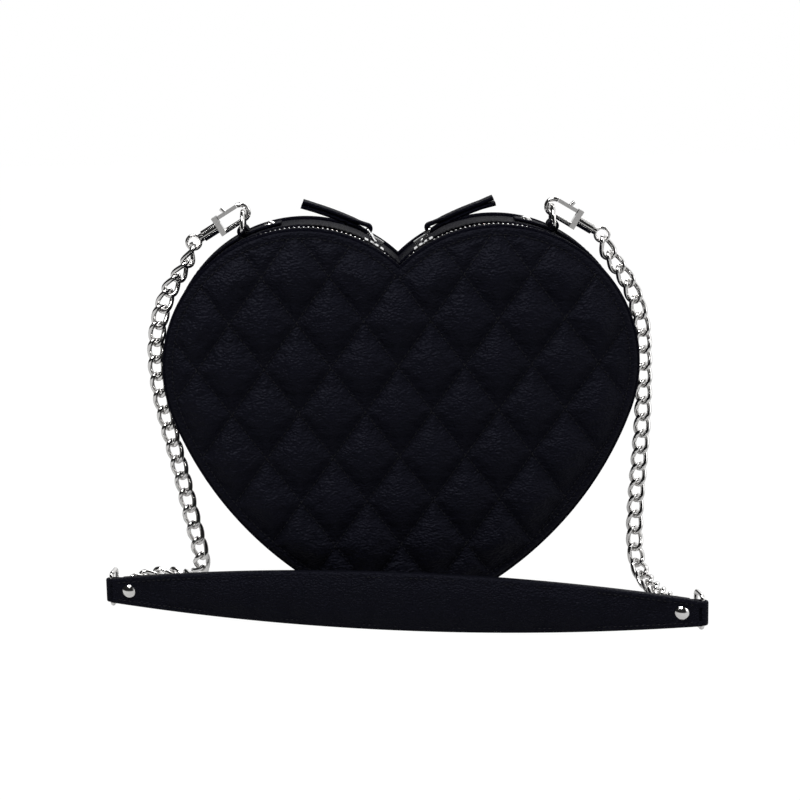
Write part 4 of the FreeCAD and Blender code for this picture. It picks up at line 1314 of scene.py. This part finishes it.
def colour_prop(label, text, value):
    return bpy.props.FloatVectorProperty(
        name=label, description=text, default=value, size=4, min=0.0, max=1.0, subtype="COLOR"
    )


class PurseLeather(bpy.types.PropertyGroup):
    """Leather, quilting and thread."""

    colour: colour_prop("Leather", "Colour of the black leather", (0.0021, 0.0021, 0.0047, 1.0))
    thread_colour: colour_prop("Thread", "Colour of the sewing thread", (0.007, 0.007, 0.011, 1.0))
    grain: length_prop("Grain", "Width of one pebble of the leather's grain", 1.1 * MM)
    quilt_width: length_prop("Diamond Width", "Width of one quilted diamond", 34.2 * MM)
    quilt_height: length_prop("Diamond Height", "Height of one quilted diamond", 47.0 * MM)
    quilt_x: length_prop("Crossing X", "Place of one crossing of the seams", -1.9 * MM)
    quilt_z: length_prop("Crossing Height", "Height of one crossing of the seams", 131.7 * MM)
    quilt_cells: bpy.props.IntProperty(
        name="Quilt Detail", description="Points along a diamond's side", default=17
    )
    seam_rise: length_prop("Seam Rise", "How far the middle seams stand in front of the rim", 1.5 * MM)
    puff: length_prop("Puff", "Height of a diamond before it swells", 4.6 * MM)
    puff_cap: length_prop("Swell Limit", "The furthest that a point may move as the leather swells", 1.6 * MM)
    pressure: number_prop("Pressure", "Push of the padding on the leather", 16.0)
    slack: number_prop("Slack", "Spare leather between seams", 0.02, subtype="FACTOR", min=0.0, max=0.2)
    stitch_pitch: length_prop("Stitch Pitch", "From one stitch to the next", 2.7 * MM)
    stitch_lift: length_prop("Stitch Lift", "How far a stitch's middle lies above the leather", 0.2 * MM)
    thread: length_prop("Thread Width", "Width of the sewing thread", 0.6 * MM)


class PurseMetal(bpy.types.PropertyGroup):
    """Chain, zip and fittings."""

    colour: colour_prop("Nickel", "Colour of chain, clasps and rings", (0.78, 0.77, 0.76, 1.0))
    zip_colour: colour_prop("Zip Nickel", "Colour of teeth and sliders", (0.72, 0.72, 0.72, 1.0))
    polish: number_prop("Dullness", "Roughness of the polished metal", 0.08, subtype="FACTOR", min=0.0, max=1.0)
    link_length: length_prop("Link Length", "Length of a link along its wire's middle", 12.1 * MM)
    link_width: length_prop("Link Width", "Width of a link along its wire's middle", 7.0 * MM)
    link_twist: length_prop("Link Twist", "How far a link's wire leaves its flat", 1.8 * MM)
    link_wire: length_prop("Link Wire", "Thickness of the chain's wire", 2.5 * MM)
    tooth_pitch: length_prop("Tooth Pitch", "From one zip tooth to the next", 2.45 * MM)
    tooth_length: length_prop("Tooth Length", "Length of a tooth along the zip", 1.3 * MM)
    tooth_width: length_prop("Tooth Width", "Width of a tooth across the zip", 2.4 * MM)
    tooth_height: length_prop("Tooth Height", "Height of a tooth", 2.5 * MM)


class PurseStage(bpy.types.PropertyGroup):
    """Floor, light and camera."""

    floor_white: number_prop("Floor White", "How far the shadows are washed out", 0.95, subtype="FACTOR")
    dome: number_prop("Surrounding Light", "Soft light from all round", 0.15)
    key: number_prop("Key Light", "Power of the main light", 24.0, unit="POWER")
    lens: number_prop("Lens", "Focal length", 87.8, unit="CAMERA")
    distance: length_prop("Distance", "From the camera to its target", 1.0)
    azimuth: number_prop("Around", "Degrees to the right of the front", -0.8)
    elevation: number_prop("Above", "Degrees above the horizon", 11.5)
    roll: number_prop("Roll", "Degrees of roll", -1.0)
    target: bpy.props.FloatVectorProperty(
        name="Target",
        description="Where the camera looks",
        default=(-0.00115, -0.032, 0.1144),
        subtype="XYZ",
        unit="LENGTH",
    )


class PURSE_OT_quilted_front(bpy.types.Operator):
    """Sew the padded leather front with its diamonds"""

    bl_idname = "purse.quilted_front"
    bl_label = "Quilted Front"
    bl_options = {"REGISTER", "UNDO"}

    def execute(self, context):
        make_quilted_front()
        return {"FINISHED"}


class PURSE_OT_back_panel(bpy.types.Operator):
    """Cut the plain leather back"""

    bl_idname = "purse.back_panel"
    bl_label = "Back"
    bl_options = {"REGISTER", "UNDO"}

    def execute(self, context):
        make_back_panel()
        return {"FINISHED"}


class PURSE_OT_gusset(bpy.types.Operator):
    """Cut the band between front and back, and the strips beside the zip"""

    bl_idname = "purse.gusset"
    bl_label = "Gusset"
    bl_options = {"REGISTER", "UNDO"}

    def execute(self, context):
        make_gusset()
        return {"FINISHED"}


class PURSE_OT_edge_beads(bpy.types.Operator):
    """Roll the leather beads round both edges"""

    bl_idname = "purse.edge_beads"
    bl_label = "Edge Beads"
    bl_options = {"REGISTER", "UNDO"}

    def execute(self, context):
        make_edge_beads()
        return {"FINISHED"}


class PURSE_OT_lining(bpy.types.Operator):
    """Sew the cloth pouch inside"""

    bl_idname = "purse.lining"
    bl_label = "Lining"
    bl_options = {"REGISTER", "UNDO"}

    def execute(self, context):
        make_lining()
        return {"FINISHED"}


class PURSE_OT_zip(bpy.types.Operator):
    """Weave the zip's tapes and set its teeth"""

    bl_idname = "purse.zip"
    bl_label = "Zip"
    bl_options = {"REGISTER", "UNDO"}

    def execute(self, context):
        make_zip()
        return {"FINISHED"}


class PURSE_OT_pull_tabs(bpy.types.Operator):
    """Fold the leather tabs round the zip's pullers"""

    bl_idname = "purse.pull_tabs"
    bl_label = "Pull Tabs"
    bl_options = {"REGISTER", "UNDO"}

    def execute(self, context):
        make_pull_tabs()
        return {"FINISHED"}


class PURSE_OT_strap_anchors(bpy.types.Operator):
    """Fold the leather that holds the rings, with its tails down the sides"""

    bl_idname = "purse.strap_anchors"
    bl_label = "Strap Anchors"
    bl_options = {"REGISTER", "UNDO"}

    def execute(self, context):
        make_strap_anchors()
        return {"FINISHED"}


class PURSE_OT_chains(bpy.types.Operator):
    """Link both chains"""

    bl_idname = "purse.chains"
    bl_label = "Chains"
    bl_options = {"REGISTER", "UNDO"}

    def execute(self, context):
        make_chains()
        return {"FINISHED"}


class PURSE_OT_shoulder_pad(bpy.types.Operator):
    """Pad the leather strap and fold its ends"""

    bl_idname = "purse.shoulder_pad"
    bl_label = "Shoulder Pad"
    bl_options = {"REGISTER", "UNDO"}

    def execute(self, context):
        make_shoulder_pad()
        return {"FINISHED"}


class PURSE_OT_stitching(bpy.types.Operator):
    """Sew every visible seam"""

    bl_idname = "purse.stitching"
    bl_label = "Stitching"
    bl_options = {"REGISTER", "UNDO"}

    def execute(self, context):
        make_bag_stitches()
        make_tab_stitches()
        make_strap_stitches()
        return {"FINISHED"}


class PURSE_OT_fittings(bpy.types.Operator):
    """Polish rings, clasps, rivets, sliders and pullers"""

    bl_idname = "purse.fittings"
    bl_label = "Metal Fittings"
    bl_options = {"REGISTER", "UNDO"}

    def execute(self, context):
        polish_fittings()
        return {"FINISHED"}


class PURSE_OT_studio(bpy.types.Operator):
    """Set the floor, the light and the camera"""

    bl_idname = "purse.studio"
    bl_label = "Studio"
    bl_options = {"REGISTER", "UNDO"}

    def execute(self, context):
        make_studio()
        return {"FINISHED"}


OPERATORS = (
    PURSE_OT_quilted_front,
    PURSE_OT_back_panel,
    PURSE_OT_gusset,
    PURSE_OT_edge_beads,
    PURSE_OT_lining,
    PURSE_OT_zip,
    PURSE_OT_pull_tabs,
    PURSE_OT_strap_anchors,
    PURSE_OT_chains,
    PURSE_OT_shoulder_pad,
    PURSE_OT_stitching,
    PURSE_OT_fittings,
    PURSE_OT_studio,
)
GROUPS = {"purse_leather": PurseLeather, "purse_metal": PurseMetal, "purse_stage": PurseStage}


class PURSE_PT_panel(bpy.types.Panel):
    """Sizes, colours and pieces of the purse."""

    bl_label = "Heart Shaped Purse"
    bl_space_type = "VIEW_3D"
    bl_region_type = "UI"
    bl_category = "Purse"

    def draw(self, context):
        for name, group in GROUPS.items():
            box = self.layout.box()
            for prop in group.__annotations__:
                box.prop(getattr(context.scene, name), prop)
        for operator in OPERATORS:
            self.layout.operator(operator.bl_idname)


def register():
    for group in GROUPS.values():
        bpy.utils.register_class(group)
    for operator in (*OPERATORS, PURSE_PT_panel):
        bpy.utils.register_class(operator)
    for name, group in GROUPS.items():
        setattr(bpy.types.Scene, name, bpy.props.PointerProperty(type=group))


def unregister():
    for name in GROUPS:
        delattr(bpy.types.Scene, name)
    for operator in (PURSE_PT_panel, *reversed(OPERATORS)):
        bpy.utils.unregister_class(operator)
    for group in GROUPS.values():
        bpy.utils.unregister_class(group)


def main():
    register()
    for operator in OPERATORS:
        getattr(bpy.ops.purse, operator.bl_idname.split(".")[1])()


if __name__ == "__main__":
    main()
